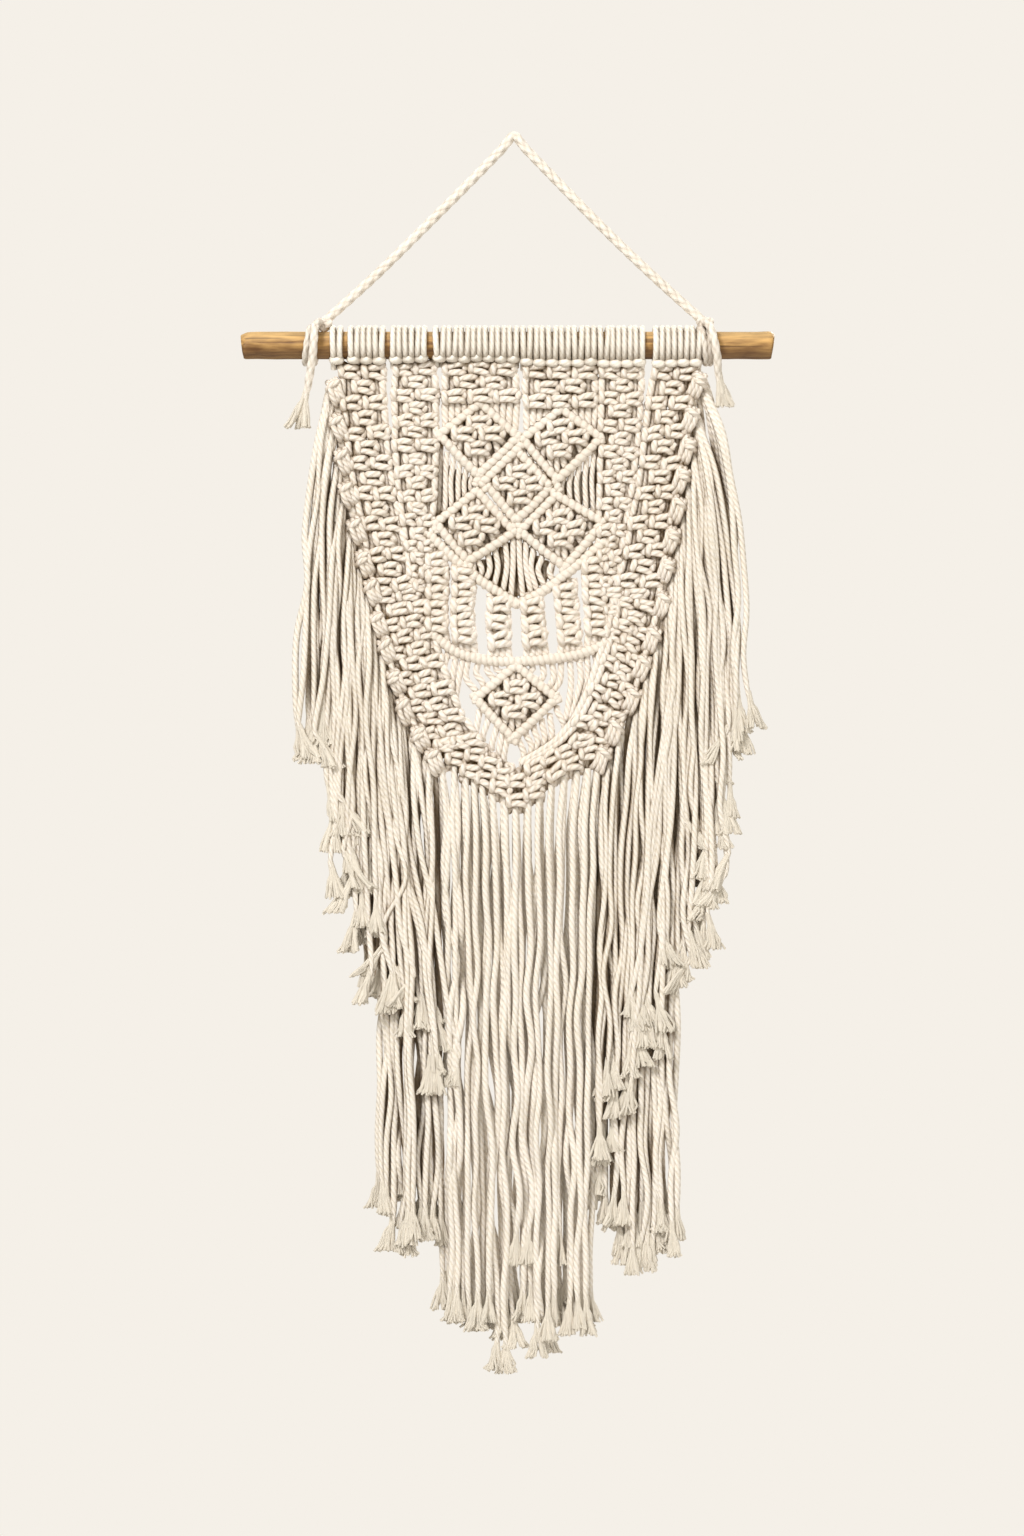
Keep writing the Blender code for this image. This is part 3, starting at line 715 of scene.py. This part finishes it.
# Single cords, each as the chart places it passes.
LOOSE_CORDS = (
    ((-36, 420), (-32, 428), (-34, 436)), ((-26, 414), (-24, 428), (-29, 441)),
    ((-19, 409), (-16, 426), (-20, 446)), ((-9, 402), (-7, 424), (-11, 450)),
    ((-1, 398), (-1, 424), (-3, 456)), ((5, 398), (6, 424), (9, 457)),
    ((12, 404), (12, 426), (17, 452)), ((19, 411), (17, 428), (23, 450)),
    ((28, 417), (24, 430), (31, 446)), ((39, 421), (35, 431), (40, 441)),
    ((-66, 512), (-71, 531), (-69, 549)), ((-58, 516), (-62, 539), (-64, 561)),
    ((-51, 518), (-55, 537), (-58, 556)), ((-46, 520), (-48, 537), (-38, 550)),
    ((-35, 521), (-38, 532), (-31, 542)), ((-26, 521), (-27, 530), (-20, 538)),
    ((-18, 521), (-18, 528), (-12, 532)), ((17, 521), (19, 528), (15, 532)),
    ((28, 522), (30, 534), (25, 541)), ((38, 522), (40, 536), (36, 545)),
    ((47, 522), (46, 540), (40, 549)), ((56, 520), (57, 545), (53, 574)),
    ((65, 519), (67, 538), (62, 559), (57, 577)), ((73, 517), (74, 536), (70, 554)),
    ((81, 514), (84, 530), (78, 548)),
    ((-35, 574), (-38, 590)), ((-26, 580), (-31, 594)), ((-17, 586), (-22, 603)), ((-11, 591), (-15, 609)),
    ((-7, 598), (-10, 614)), ((4, 598), (10, 612), (8, 622)), ((12, 594), (18, 606), (14, 620)),
    ((20, 589), (24, 600), (21, 614)), ((28, 583), (31, 596), (29, 611)), ((36, 578), (38, 592), (36, 607)),
    ((43, 570), (50, 583)),
)
FREE_CORD = 0.0045         # cord that runs free in front
free = Cords("free_cords", 0.003)
for start, end, count, bow in FREE:
    for upper, lower in zip(line_places(start, count), line_places(end, count)):
        middle = (upper + lower) / 2 + at(bow + rng.uniform(-0.8, 0.8), 0, 0.4)
        free.add([upper, upper * 0.8 + lower * 0.2 + at(bow * 0.5, 0), middle, lower], 0.0040)
for places in LOOSE_CORDS:
    (first_column, first_row), (last_column, last_row) = places[0], places[-1]
    free.add([at(first_column, first_row - 5, 1), *[at(column, row, -0.3) for column, row in places],
              at(last_column, last_row + 6, 1.5)], FREE_CORD)


def behind(upper, lower):
    """A cord of the second rank, which shows only as thin dark lines between the cords in front, dark from
    real shade and from the painted shade in the hollows.
    """
    free.add([upper + (0, 0.004, 0), (upper + lower) / 2 + (0, 0.0052, 0), lower + (0, 0.004, 0)], CORD)


for start, end in zip(line_places(((-40, 0), (41, 0)), 13), line_places(((-38, 0), (38, 0)), 13)):
    reach = abs(start[0] / SQUARE) * 0.7
    behind(at(start[0] / SQUARE, 397 + reach), at(end[0] / SQUARE, 458 - reach * 0.8))
for start, end in ((((-72, 318), (-40, 338)), ((-74, 372), (-42, 354))),
                   (((84, 318), (48, 342)), ((84, 372), (46, 354)))):
    for upper, lower in zip(line_places(start, 5), line_places(end, 5)):
        behind(upper, lower)
for edge in (((-74, 296), (-75, 340), (-77, 392)), ((86, 300), (86, 345), (88, 392))):
    free.add([at(column, row, 3.2) for column, row in edge], CORD)
# Two long cords slant down the inside of the right arm.
SLANT = ((99, 450), (96, 480), (90, 500), (77, 540), (66, 566), (54, 586), (38, 602), (6, 622))
for shift in (0, 6):
    free.add([at(column + shift, row, -3.6) for column, row in SLANT], CORD)
free_piece = free.make(KNOTTED)

# %% [markdown]
# ## Fringe
# Bunches of cord are hitched into the edges and hang straight down in layers. The tables give each
# layer's depth in millimetres, its first and last column at the tips, and one tip row for each lock
# of two cords.

# %% fringe tables
FRINGE = {
    "fringe_left": (
        (-7.5, -210, -80, (614, 606, 611, 693, 746, 790, 864, 1094, 889, 944)),
        (-2.5, -204, -86, (612, 610, 697, 749, 746, 1074, 1104, 1094, 1099)),
        (3, -199, -79, (600, 604, 700, 795, 850, 1060, 1090, 1085, 1096)),
        (7, -184, -77, (604, 740, 850, 1064, 1090, 1085, 1090)),
    ),
    "fringe_centre": (
        (-7.5, -62, 70, (1184, 1184, 1182, 1224, 1121, 1221, 1189, 1184, 1189)),
        (-2.5, -56, 74, (1180, 1186, 1190, 1200, 1174, 1206, 1131, 1186, 1180)),
        (3, -66, 64, (1170, 1176, 1180, 1190, 1186, 1184, 1178, 1182, 1176)),
        (7, -60, 66, (1160, 1164, 1170, 1172, 1170, 1172, 1168, 1166, 1162)),
    ),
    "fringe_right": (
        (-7.5, 228, 84, (594, 600, 759, 814, 844, 819, 904, 879, 969, 954, 1019)),
        (-2.5, 222, 92, (609, 690, 759, 803, 1106, 1084, 1121, 1131, 1081, 1016)),
        (3, 216, 88, (600, 684, 752, 800, 1100, 1109, 1100, 1121, 1090, 1060)),
        (7, 194, 80, (600, 740, 800, 1080, 1100, 1112, 1090, 1060)),
    ),
}
# Where each bunch is hitched on, from the outermost: column, row.
ROOTS = {
    "fringe_left": (
        (-179, 251), (-176, 287), (-171, 321), (-167, 354), (-158, 390), (-150, 422), (-142, 451),
        (-136, 484), (-128, 510), (-119, 541), (-110, 570), (-94, 597), (-80, 620),
    ),
    "fringe_centre": (
        (-72, 628), (-60, 632), (-49, 635), (-40, 640), (-31, 646), (-22, 654), (-10, 661), (2, 666),
        (14, 660), (26, 652), (38, 646), (50, 642), (62, 638), (73, 634), (83, 628),
    ),
    "fringe_right": (
        (184, 244), (177, 279), (174, 309), (168, 339), (164, 369), (158, 399), (153, 429),
        (149, 464), (139, 499), (129, 527), (119, 559), (101, 591), (89, 618),
    ),
}
# The short cords in front, whose frayed ends stand in tiers: column and row of each end.
TIERS = {
    "fringe_left": (
        (-212, 619), (-190, 626), (-183, 674), (-171, 689), (-151, 692), (-186, 706), (-169, 727),
        (-155, 750), (-167, 745), (-180, 756), (-168, 772), (-142, 792), (-164, 806), (-153, 785),
        (-139, 838), (-147, 863), (-130, 867), (-124, 859), (-110, 869), (-93, 888), (-110, 894),
        (-79, 910), (-86, 927), (-78, 948), (-63, 946),
    ),
    "fringe_centre": (),
    "fringe_right": (
        (222, 609), (210, 620), (192, 643), (216, 679), (202, 694), (210, 688), (208, 708),
        (177, 711), (210, 748), (189, 735), (191, 763), (208, 764), (192, 780), (197, 807),
        (180, 825), (150, 823), (170, 851), (119, 890), (145, 887), (130, 901), (150, 914),
        (127, 926), (116, 936), (100, 955), (120, 971),
    ),
}
locks = sum(len(tips) for layers in FRINGE.values() for *_, tips in layers)
print("fringe:", locks, "locks and", sum(map(len, TIERS.values())), "short cords")

# %% [markdown]
# A frayed end is a fan of single yarns round each ply. A bunch is held by three loops over the edge
# with a fold or two across them: across from the root in chart squares, down, and depth in millimetres.

# %% frayed ends and hitches
FRAY = 0.0175              # length of a frayed end
SPREAD = 0.0042            # how far a ply leans out at its end
YARNS = 8                  # yarns to a ply
PLY_WIDTHS = np.array((0.0020, 0.0026, 0.0030, 0.0038, 0.0034))
YARN_WIDTHS = (0.0014, 0.0018, 0.0021, 0.0017)
LOOP = ((-7, 11, 2.0), (-5, 9, -3.8), (-2, 2, -6.2), (0.5, -6, -6.2), (2.5, -10, -4.0), (3.5, -11, 1.0))
FOLD = ((-5, -1, -2.0), (-3, -2, -6.8), (1, 0, -8.6), (5, 3, -6.8), (7, 5, -2.0))
FOLDS = ((-7, 0.0045), (-2, 0.0042))   # height and width of each fold
edge_knots = Cords("edge_knots")


def tuft(tufts, tip, ahead, size=1.0):
    """The untwisted end of a cord: each of its three plies opens into a fan of yarn."""
    ahead = unit(ahead)
    lean = rng.normal(0, 0.45)
    length = FRAY * rng.uniform(0.9, 1.12) * min(size, 1.1)
    for ply in (-1, 0, 1):
        out = np.array((ply + lean + rng.normal(0, 0.25), rng.uniform(-0.7, 0.5), 0.0)) * size
        middle = tip + ahead * length * 0.30 + out * 0.0013
        end = tip + ahead * length + out * SPREAD
        tufts.add([tip - ahead * 0.008 + out * 0.0007, middle, end], PLY_WIDTHS * size)
        for _ in range(YARNS):
            fan = out * SPREAD + rng.normal(0, 0.0017, 3) * (1.0, 0.7, 0.0)
            curl = rng.normal(0, 0.0010, 3) * (1.0, 0.5, 0.5)
            near_end = tip + ahead * length * 0.72 + fan * 0.62 + curl
            yarn_end = tip + ahead * length * rng.uniform(0.97, 1.08) + fan - curl * 0.6
            tufts.add([tip + out * 0.0009, middle + fan * 0.25, near_end, yarn_end], YARN_WIDTHS)


def edge_knot(column, row, outward):
    """The hitch that holds a bunch: three loops side by side over the edge, and a fold or two across."""
    for rank in (-1, 0, 1):
        stray = rng.normal(0, 0.0003, (len(LOOP), 3))
        places = [
            at(column + outward * (across - rank * 3.9), row + down - rank * 2.1 + rng.normal(0, 0.5), depth)
            for across, down, depth in LOOP
        ]
        edge_knots.add(places + stray, 0.0043 * rng.uniform(0.94, 1.06))
    tilt = rng.uniform(-2.0, 2.0)
    for up, width in FOLDS[:2 if tilt > 0 else 1]:
        edge_knots.add([at(column + outward * across, row + up + down - tilt * across / 6, depth)
                        for across, down, depth in FOLD], width)


print(3 * YARNS, "yarns to a frayed end")

# %% [markdown]
# The long cords of a layer leave their roots over the edge and spread to their tips. The short
# cords in front fall beside them. Each table below says how far across a cord has got, from 0 to 1,
# at a few shares of its drop.

# %% fringe
LONG_FALL = ((0, 0.05, 0.16, 0.38, 0.68, 1), (0, 0.22, 0.46, 0.74, 0.93, 1))
OUTWARD_FALL = ((0, 0.16, 0.38, 0.68, 1), (0, 0.36, 0.68, 0.90, 1))
INWARD_FALL = ((0, 0.16, 0.38, 0.68, 1), (0, 0, 0.2, 0.7, 1))
LONG_WAVE = np.array((0.00155, 0.001395))   # how far a cord strays across and in depth
SHORT_WAVE = np.array((0.0016, 0.00096))
STEP_DOWN = 0.034          # drop from one place of a cord to the next
SIDE_CORDS = 2.3           # long cords to a lock, in a side fringe and in the centre
CENTRE_CORDS = 1.7
EDGE_CORD = 0.0085         # thickness of the folds that run down an edge behind the hitches
FRAY_ROWS = 24             # rows below a cord that its frayed end takes up


def fall(root, tip, steps, table, haste, wave, slack=(1.0, 0.0)):
    """The places between root and tip. haste says how soon a cord comes to its depth, and slack how
    much it waves at its root and how much more at its tip."""
    places = []
    for down in np.arange(1, steps) / steps:
        stray = rng.normal(0, 1, 2) * wave * (slack[0] + slack[1] * down)
        shares = np.interp(down, *table), min(down * haste, 1.0), down
        places.append(root + (tip - root) * shares + (*stray, 0))
    return places


def fringe_layer(cords, tufts, roots, outward, rank, depth, first, last, tips):
    """One layer of long cords, spread evenly over the roots and over the tips."""
    count = round((SIDE_CORDS if outward else CENTRE_CORDS) * len(tips))
    for index in range(count):
        share = (index + 0.5) / count
        column, row = roots[int(share * len(roots))]
        aside = share * len(roots) % 1.0 - 0.5
        if outward:
            lift = aside * 9
            arch = ((-6, lift - 3, 1.0), (0, lift - 5, 0.5 - rank), (5 + 2.5 * rank, lift + 2, 0.4 - rank))
        else:
            column += aside * 11
            back = (depth + 2.5) * 0.35
            arch = ((0, -7, 1.2 + back), (0, 2, 0.4 + back))
        side = outward or 1
        shift, lower = rng.uniform(-1.2, 1.2, 2)
        route = [at(column + side * dx + shift, row + dy + lower, dz) for dx, dy, dz in arch]
        root = route[-1]
        tip_column = first + (last - first) * (share * len(tips) - 0.5) / (len(tips) - 1)
        tip_row = tips[index * len(tips) // count] + rng.uniform(-9, 7) - FRAY_ROWS
        tip = at(tip_column + rng.normal(0, 1.6), tip_row, depth + rng.uniform(-2.0, 2.0))
        drop = root[2] - tip[2]
        wave = LONG_WAVE * (1.0 if rng.uniform() > 0.08 else 2.2)
        route += fall(root, tip, max(5, round(drop / STEP_DOWN)), LONG_FALL, 7, wave, (0.45, 0.95))
        width = FRINGE_CORD * rng.uniform(0.94, 1.08)
        cords.add([*route, tip], (*[width] * max(15, round(drop / 0.012)), width * 0.5))
        tuft(tufts, tip, tip - route[-1])


def short_cord(cords, tufts, roots, outward, column, row):
    """A cord of a tier, in front of the layers."""
    share = (abs(column) - 60) / 155
    root_column, root_row = roots[round((1 - share) * (len(roots) - 3)) + 1]
    table = INWARD_FALL if abs(column) < abs(root_column) + 6 else OUTWARD_FALL
    root = at(root_column + outward * 6, root_row + 3, -0.5)
    tip = at(column + rng.normal(0, 2.0) - outward * 2, row - 25, -9.5 + rng.uniform(-1.5, 2.5))
    steps = max(5, round((root[2] - tip[2]) / STEP_DOWN)) - 1
    route = [root, *fall(root, tip, steps, table, 5, SHORT_WAVE)]
    last = tip - at(rng.normal(0, 4.5), 12) * (1, 0, 1)
    cords.add([*route, last, tip], (*[FRINGE_CORD] * 14, FRINGE_CORD * 0.5))
    tuft(tufts, tip, tip - last, rng.uniform(0.95, 1.2))


def fringe(name, outward):
    """All cords of one fringe and their frayed ends. outward is -1 on the left edge and 1 on the right."""
    cords, tufts = Cords(name + "_cords", 0.005), Cords(name + "_tufts", 0.006, 5)
    roots = ROOTS[name]
    if outward:
        cords.add([at(column - outward * 3, row, 2.5) for column, row in roots], EDGE_CORD)
        for place in roots:
            edge_knot(*place, outward)
    for rank, layer in zip((0, -1, 1, -2), FRINGE[name]):
        fringe_layer(cords, tufts, roots, outward, rank, *layer)
    for end in TIERS[name]:
        short_cord(cords, tufts, roots, outward, *end)
    return cords.make(LOOSE), tufts.make(FRAYED)


SIDES = {"fringe_left": -1, "fringe_centre": 0, "fringe_right": 1}
fringe_pieces = {name: fringe(name, outward) for name, outward in SIDES.items()}
edge_piece = edge_knots.make(KNOTTED)

# %% [markdown]
# ## Hanging cord
# A thicker plied rope goes over the nail and is tied at both ends. Its plies are raised in the mesh,
# because the rope is coarse enough for its outline to show them.

# %% hanging cord
HANGER_ROUTE = (
    (-191, 182), (-140, 136), (-90, 87), (-40, 37), (-12, 8), (0, -4.9),
    (12, 8), (40, 37), (90, 88), (138, 134), (189, 180),
)
HANGER_RING = 0.0016       # from ring to ring of the mesh
HANGER_PLIES = (3, 0.028, 0.26)        # plies, metres for one turn of a ply, depth of the grooves
hanger = Cords("hanging_cord_rope", HANGER_RING, 18)
hanger_route = run([at(*place) for place in HANGER_ROUTE], HANGER_RING)
hanger.add(hanger_route, HANGER, HANGER_PLIES, smooth=False)
hanger_piece = hanger.make(ROPE)

# %% ties
TIE = 0.0050               # thickness of a turn, drawn tight
CLEAR = 0.0027             # from the dowel's skin to the middle of a turn
TAIL_WIDTHS = (0.0062, 0.0062, 0.0062, 0.0062, 0.0060, 0.0040)
TIES = (                   # columns of the turns, the tail's places and the knot's place
    ((-206, -199), ((-194, 182, -5), (-198, 188, -14), (-199, 204, -18.5),
                    (-201, 223, -16), (-205, 246, -12), (-208, 259, -10)), (-190, 181)),
    ((189.5, 195.5), ((190, 181, -5), (195, 188, -14), (199, 204, -18.5),
                      (202, 219, -16), (203, 232, -12), (204, 241, -10)), (191, 180)),
)
ties = Cords("hanging_cord_ties", 0.0018, 12)
tie_tufts = Cords("hanging_cord_frays", 0.005, 5)
for turns, tail, (knot_column, knot_row) in TIES:
    for column in turns:
        lean = math.copysign(2.6 if column == turns[0] else 0.8, -column)
        ties.add([at(column + lean * math.cos(math.radians(degrees)),
                     *round_dowel(DOWEL_RADIUS + CLEAR, 90 - degrees)) for degrees in range(0, 361, 30)],
                 TIE, (3, 0.024, 0.26))
    ties.add([at(knot_column + 2.1 * (math.sin(t) + 2 * math.sin(2 * t)),
                 knot_row + 2.6 - 1.6 * (math.cos(t) - 2 * math.cos(2 * t)), -1.0 - 1.9 * math.sin(3 * t))
              for t in np.linspace(0, 2 * math.pi, 25)], TIE, (3, 0.022, 0.22))
    route = [at(*place) for place in tail]
    ties.add(route, TAIL_WIDTHS, (3, 0.026, 0.26))
    tuft(tie_tufts, route[-1], route[-1] - route[-2], 1.25)
ties_piece = ties.make(ROPE)
tie_frays_piece = tie_tufts.make(FRAYED)

# %% [markdown]
# ## Dowel
# A length of branch with its bark off: a cylinder with many rings, each pushed a little off round,
# with eased, slightly slanting ends.

# %% wood
def wood(name, ends):
    """Wood with its grain along the dowel, with painted light on its upper side and painted shade on its
    underside, and with rings at its ends.
    """
    look = Look(bpy.data.materials.new(name))
    place = look.place()
    x, y, z = look.split(place)
    z = z + DOWEL_ROW * SQUARE

    def grained(along, across):
        return look.noise(look.join(x * along, y * across, z * across), 1.0, 4.0)

    warp = look.noise(place, 34.0, 2.0)
    if ends:
        ring = ((y * y + z * z).math("SQRT") * 900.0 + warp * 5.0).math("SINE") * 0.5 + 0.5
        grain = ring * 0.6 + look.noise(place, 500.0) * 0.4
    else:
        fine, broad = grained(60.0, 400.0) - 0.5, grained(9.0, 150.0) - 0.5
        grain = fine * 1.9 + broad * 1.8 + (warp - 0.5) * 0.8 + 0.56
    grain = grain.clamped()
    dark = ((grained(16.0, 620.0) - 0.555) * 8.0).clamped()
    patch = ((look.noise(place, 62.0, 3.0) - 0.56) * 6.0).clamped()
    # Painted light on the dowel's upper side and painted shade on its underside, by height.
    height = z / DOWEL_RADIUS
    painted_light_above = (height * 1.3 - 0.25).clamped()
    painted_shade_below = (0.10 - height * 1.3).clamped()
    colour = look.mix(grain, (0.15, 0.060, 0.012, 1), (0.66, 0.39, 0.135, 1))
    # Patches and dark streaks are the wood's own tone; the last two tints are the painted light and the
    # painted shade.
    for amount, tint in (
        (patch * 0.55, (0.20, 0.085, 0.022, 1)), (dark * 0.75, (0.10, 0.042, 0.012, 1)),
        (painted_light_above * 0.42, (0.90, 0.66, 0.34, 1)), (painted_shade_below * 0.62, (0.085, 0.032, 0.008, 1)),
    ):
        colour = look.mix(amount, colour, tint)
    bump = look.bump(grain - dark * 0.5, 0.5, 0.0006)
    return look.finish(Base_Color=colour, Roughness=0.5 + grain * 0.15, Normal=bump)


print("wood made for the dowel's side and ends")

# %% dowel
bpy.ops.object.select_all(action="DESELECT")
length = (DOWEL_RIGHT - DOWEL_LEFT) * SQUARE
bpy.ops.mesh.primitive_cylinder_add(
    vertices=40, radius=DOWEL_RADIUS, depth=length, end_fill_type="TRIFAN",
    location=at((DOWEL_LEFT + DOWEL_RIGHT) / 2, DOWEL_ROW), rotation=(0.0, math.pi / 2, 0.0),
)
dowel = bpy.context.object
dowel.name = "dowel_wood"
bpy.ops.object.transform_apply(location=True, rotation=True, scale=True)
bpy.ops.object.mode_set(mode="EDIT")
end_cuts = [(DOWEL_LEFT + inset, DOWEL_RIGHT - inset) for inset in (0.7, 1.8, 3.4, 5.6, 8.5)]
for column in (0, *range(-257, 254, 10), *sum(end_cuts, ())):
    bpy.ops.mesh.select_all(action="SELECT")
    bpy.ops.mesh.bisect(plane_co=at(column, 0), plane_no=(1, 0, 0))
bpy.ops.object.mode_set(mode="OBJECT")
for corner in dowel.data.vertices:
    x, y, z = corner.co
    z += DOWEL_ROW * SQUARE
    column = x / SQUARE
    angle = math.atan2(z, y)
    free_end = min(abs(column - DOWEL_LEFT), abs(column - DOWEL_RIGHT))
    bare = max(0.0, 1.0 - free_end / 70.0)
    uneven = 0.018 * math.sin(column * 0.09 + 2 * angle) + 0.012 * math.sin(column * 0.21 - angle)
    size = 1.0 + bare * uneven
    easing = 9.0 if column < 0 and z > 0 else 4.5
    if free_end < easing:
        size *= 1.0 - 0.26 * (1.0 - free_end / easing) ** 3
    slant = 0.0010 * (z / DOWEL_RADIUS) if free_end < 1.0 else 0.0
    corner.co = (x + (slant if column > 0 else -slant * 0.8), y * size, z * size - DOWEL_ROW * SQUARE)
for polygon in dowel.data.polygons:
    polygon.material_index = 1 if abs(polygon.normal.x) > 0.8 else 0
dowel.data.shade_smooth()
dowel.data.set_sharp_from_angle(angle=math.radians(50))
dowel.data.materials.append(wood("dowel wood side", False))
dowel.data.materials.append(wood("dowel wood end", True))
print("dowel:", len(dowel.data.polygons), "faces")

# %% [markdown]
# ## Hollows: painted shade
# Deep between knots the cotton is painted brown as shade. How deep a place lies is found from two height
# maps on a 1 mm grid, one of the nearest cord from the front and one from the back. A corner that faces
# front and lies behind the front surface round it gets a share of painted brown shade, and the same from the
# back.

# %% painted shade in the hollows
CELL = 0.001
GRID_LOW = np.array((-0.22, -0.90))
GRID_SIZE = (440, 940)
OPEN = 0.006


def blurred(field, reach):
    """The field averaged over the cells within reach."""
    for axis in (0, 1):
        field = sum(np.roll(field, step, axis) for step in range(-reach, reach + 1)) / (2 * reach + 1)
    return field


def cell_of(x, z):
    """The cells of places, away from the grid's rim."""
    i = np.clip(((x - GRID_LOW[0]) / CELL).astype(int), 3, GRID_SIZE[0] - 4)
    j = np.clip(((z - GRID_LOW[1]) / CELL).astype(int), 3, GRID_SIZE[1] - 4)
    return i, j


cord_rows = np.vstack(laid)
front = np.full(GRID_SIZE, OPEN)
back = np.full(GRID_SIZE, -OPEN)
i, j = cell_of(cord_rows[:, 0], cord_rows[:, 2])
for di in range(-2, 3):
    for dj in range(-2, 3):
        rise = (cord_rows[:, 3] / 2) ** 2 - (di * di + dj * dj) * CELL ** 2
        near = rise > 0
        bulge = np.sqrt(rise[near])
        where = (i[near] + di, j[near] + dj)
        np.minimum.at(front, where, cord_rows[near, 1] - bulge)
        np.maximum.at(back, where, cord_rows[near, 1] + bulge)
front = blurred(blurred(front, 3), 2)
back = blurred(blurred(back, 3), 2)


def paint_hollow_shade(obj, strength, shallow):
    """Stores on each corner how much painted shade it gets, from 0 to 1, from how deep it lies, plus painted
    shade in its ply grooves; shallow is the depth that gets no painted shade.
    """
    mesh = obj.data
    places = np.empty(len(mesh.vertices) * 3)
    mesh.vertices.foreach_get("co", places)
    places = places.reshape(-1, 3)
    facing = np.empty(len(mesh.vertices) * 3)
    mesh.vertex_normals.foreach_get("vector", facing)
    share = (1 - facing.reshape(-1, 3)[:, 1]) / 2
    i, j = cell_of(places[:, 0], places[:, 2])
    depth = share * (places[:, 1] - front[i, j]) + (1 - share) * (back[i, j] - places[:, 1])
    layer = mesh.attributes["hollow_shade"].data
    ply_groove_shade = np.empty(len(mesh.vertices))
    layer.foreach_get("value", ply_groove_shade)
    hollow_shade = np.clip((depth - shallow) / 0.0026, 0, 1) * strength + ply_groove_shade * 0.4
    layer.foreach_set("value", np.minimum(hollow_shade, 1.0).astype(np.float32))
    return hollow_shade.mean()


HOLLOW_SHADE_STRENGTHS = {              # how strong the painted shade in the hollows is and how deep it starts
    "heading": (0.52, 0.0012),
    "edge_knots": (0.6, 0.0018),
    "diamond_knots": (0.75, 0.0019),
    "fringe_left_cords": (0.8, 0.0022),
    "fringe_centre_cords": (0.05, 0.0022),
    "fringe_right_cords": (0.8, 0.0022),
    "hanging_cord_rope": (0.15, 0.0013),
    "hanging_cord_ties": (0.3, 0.0013),
}
panel_pieces = [heading_piece, left_piece, right_piece, centre_piece, bars_piece, fillings_piece,
                sinnets_piece, free_piece, edge_piece]
for piece in (*panel_pieces, hanger_piece, ties_piece, *(cords for cords, _ in fringe_pieces.values())):
    mean = paint_hollow_shade(piece, *HOLLOW_SHADE_STRENGTHS.get(piece.name, (1.0, 0.0015)))
    print(piece.name, "mean hollow", round(float(mean), 2))

# %% [markdown]
# ## What each piece stands for
# The hanging has no joints, so every piece rides on its one body.

# %% riding on the frame
STANDS_FOR = {
    "knotted_panel": panel_pieces,
    **fringe_pieces,
    "hanging_cord": (hanger_piece, ties_piece, tie_frays_piece),
    "dowel": (dowel,),
}
for node, pieces in STANDS_FOR.items():
    for piece in pieces:
        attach(piece, "root")
        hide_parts(node)
    print(node + ":", len(pieces), "pieces")

# %% [markdown]
# ## Floor and light
# A pale floor far below, two broad soft lamps in front, one behind, and an even surround that is
# seen as pale card but gives less light than it shows, so that the hollows stay deep.

# %% stage
bpy.ops.mesh.primitive_plane_add(size=2.2, location=(0.0, 0.0, -1.35))
floor = bpy.context.object
floor.name = "floor"
floor_look = Look(bpy.data.materials.new("floor paint"))
floor.data.materials.append(floor_look.finish(Base_Color=(0.64, 0.63, 0.62, 1), Roughness=1.0))

LAMP_AIM = (0.0, 0.0, -0.40)
world = bpy.data.worlds.new("studio")
bpy.context.scene.world = world
sky = Look(world, "Background")
seen = sky.node("ShaderNodeLightPath", output=0)
towards = sky.node("ShaderNodeSeparateXYZ", {}, [sky.node("ShaderNodeTexCoord", output=0)], output=1)
glow = 0.50 - 0.22 * towards
sky.finish(Color=sky.mix(seen, (1.0, 0.945, 0.81, 1), (0.913, 0.871, 0.807, 1)),
           Strength=seen + (1 - seen) * glow)


def lamp(name, place, size, power, colour):
    """A soft rectangular lamp, turned to the middle of the hanging."""
    data = bpy.data.lights.new(name, "AREA")
    data.shape = "RECTANGLE"
    data.size, data.size_y = size
    data.energy = power
    data.color = colour
    obj = bpy.data.objects.new(name, data)
    bpy.context.scene.collection.objects.link(obj)
    obj.location = place
    x, y, z = np.array(LAMP_AIM) - place
    obj.rotation_euler = (math.atan2(math.hypot(x, y), -z), 0.0, math.atan2(-x, y))
    print(name, "lamp", power, "W")


lamp("key", (-1.9, -3.4, 2.7), (1.1, 1.1), 198.0, (1.0, 0.985, 0.96))
lamp("fill", (2.0, -2.6, -0.6), (1.4, 1.4), 16.0, (1.0, 0.98, 0.945))
lamp("back", (1.9, 3.3, 1.4), (1.5, 1.5), 170.0, (1.0, 0.97, 0.93))
bpy.context.scene.view_settings.view_transform = "Standard"
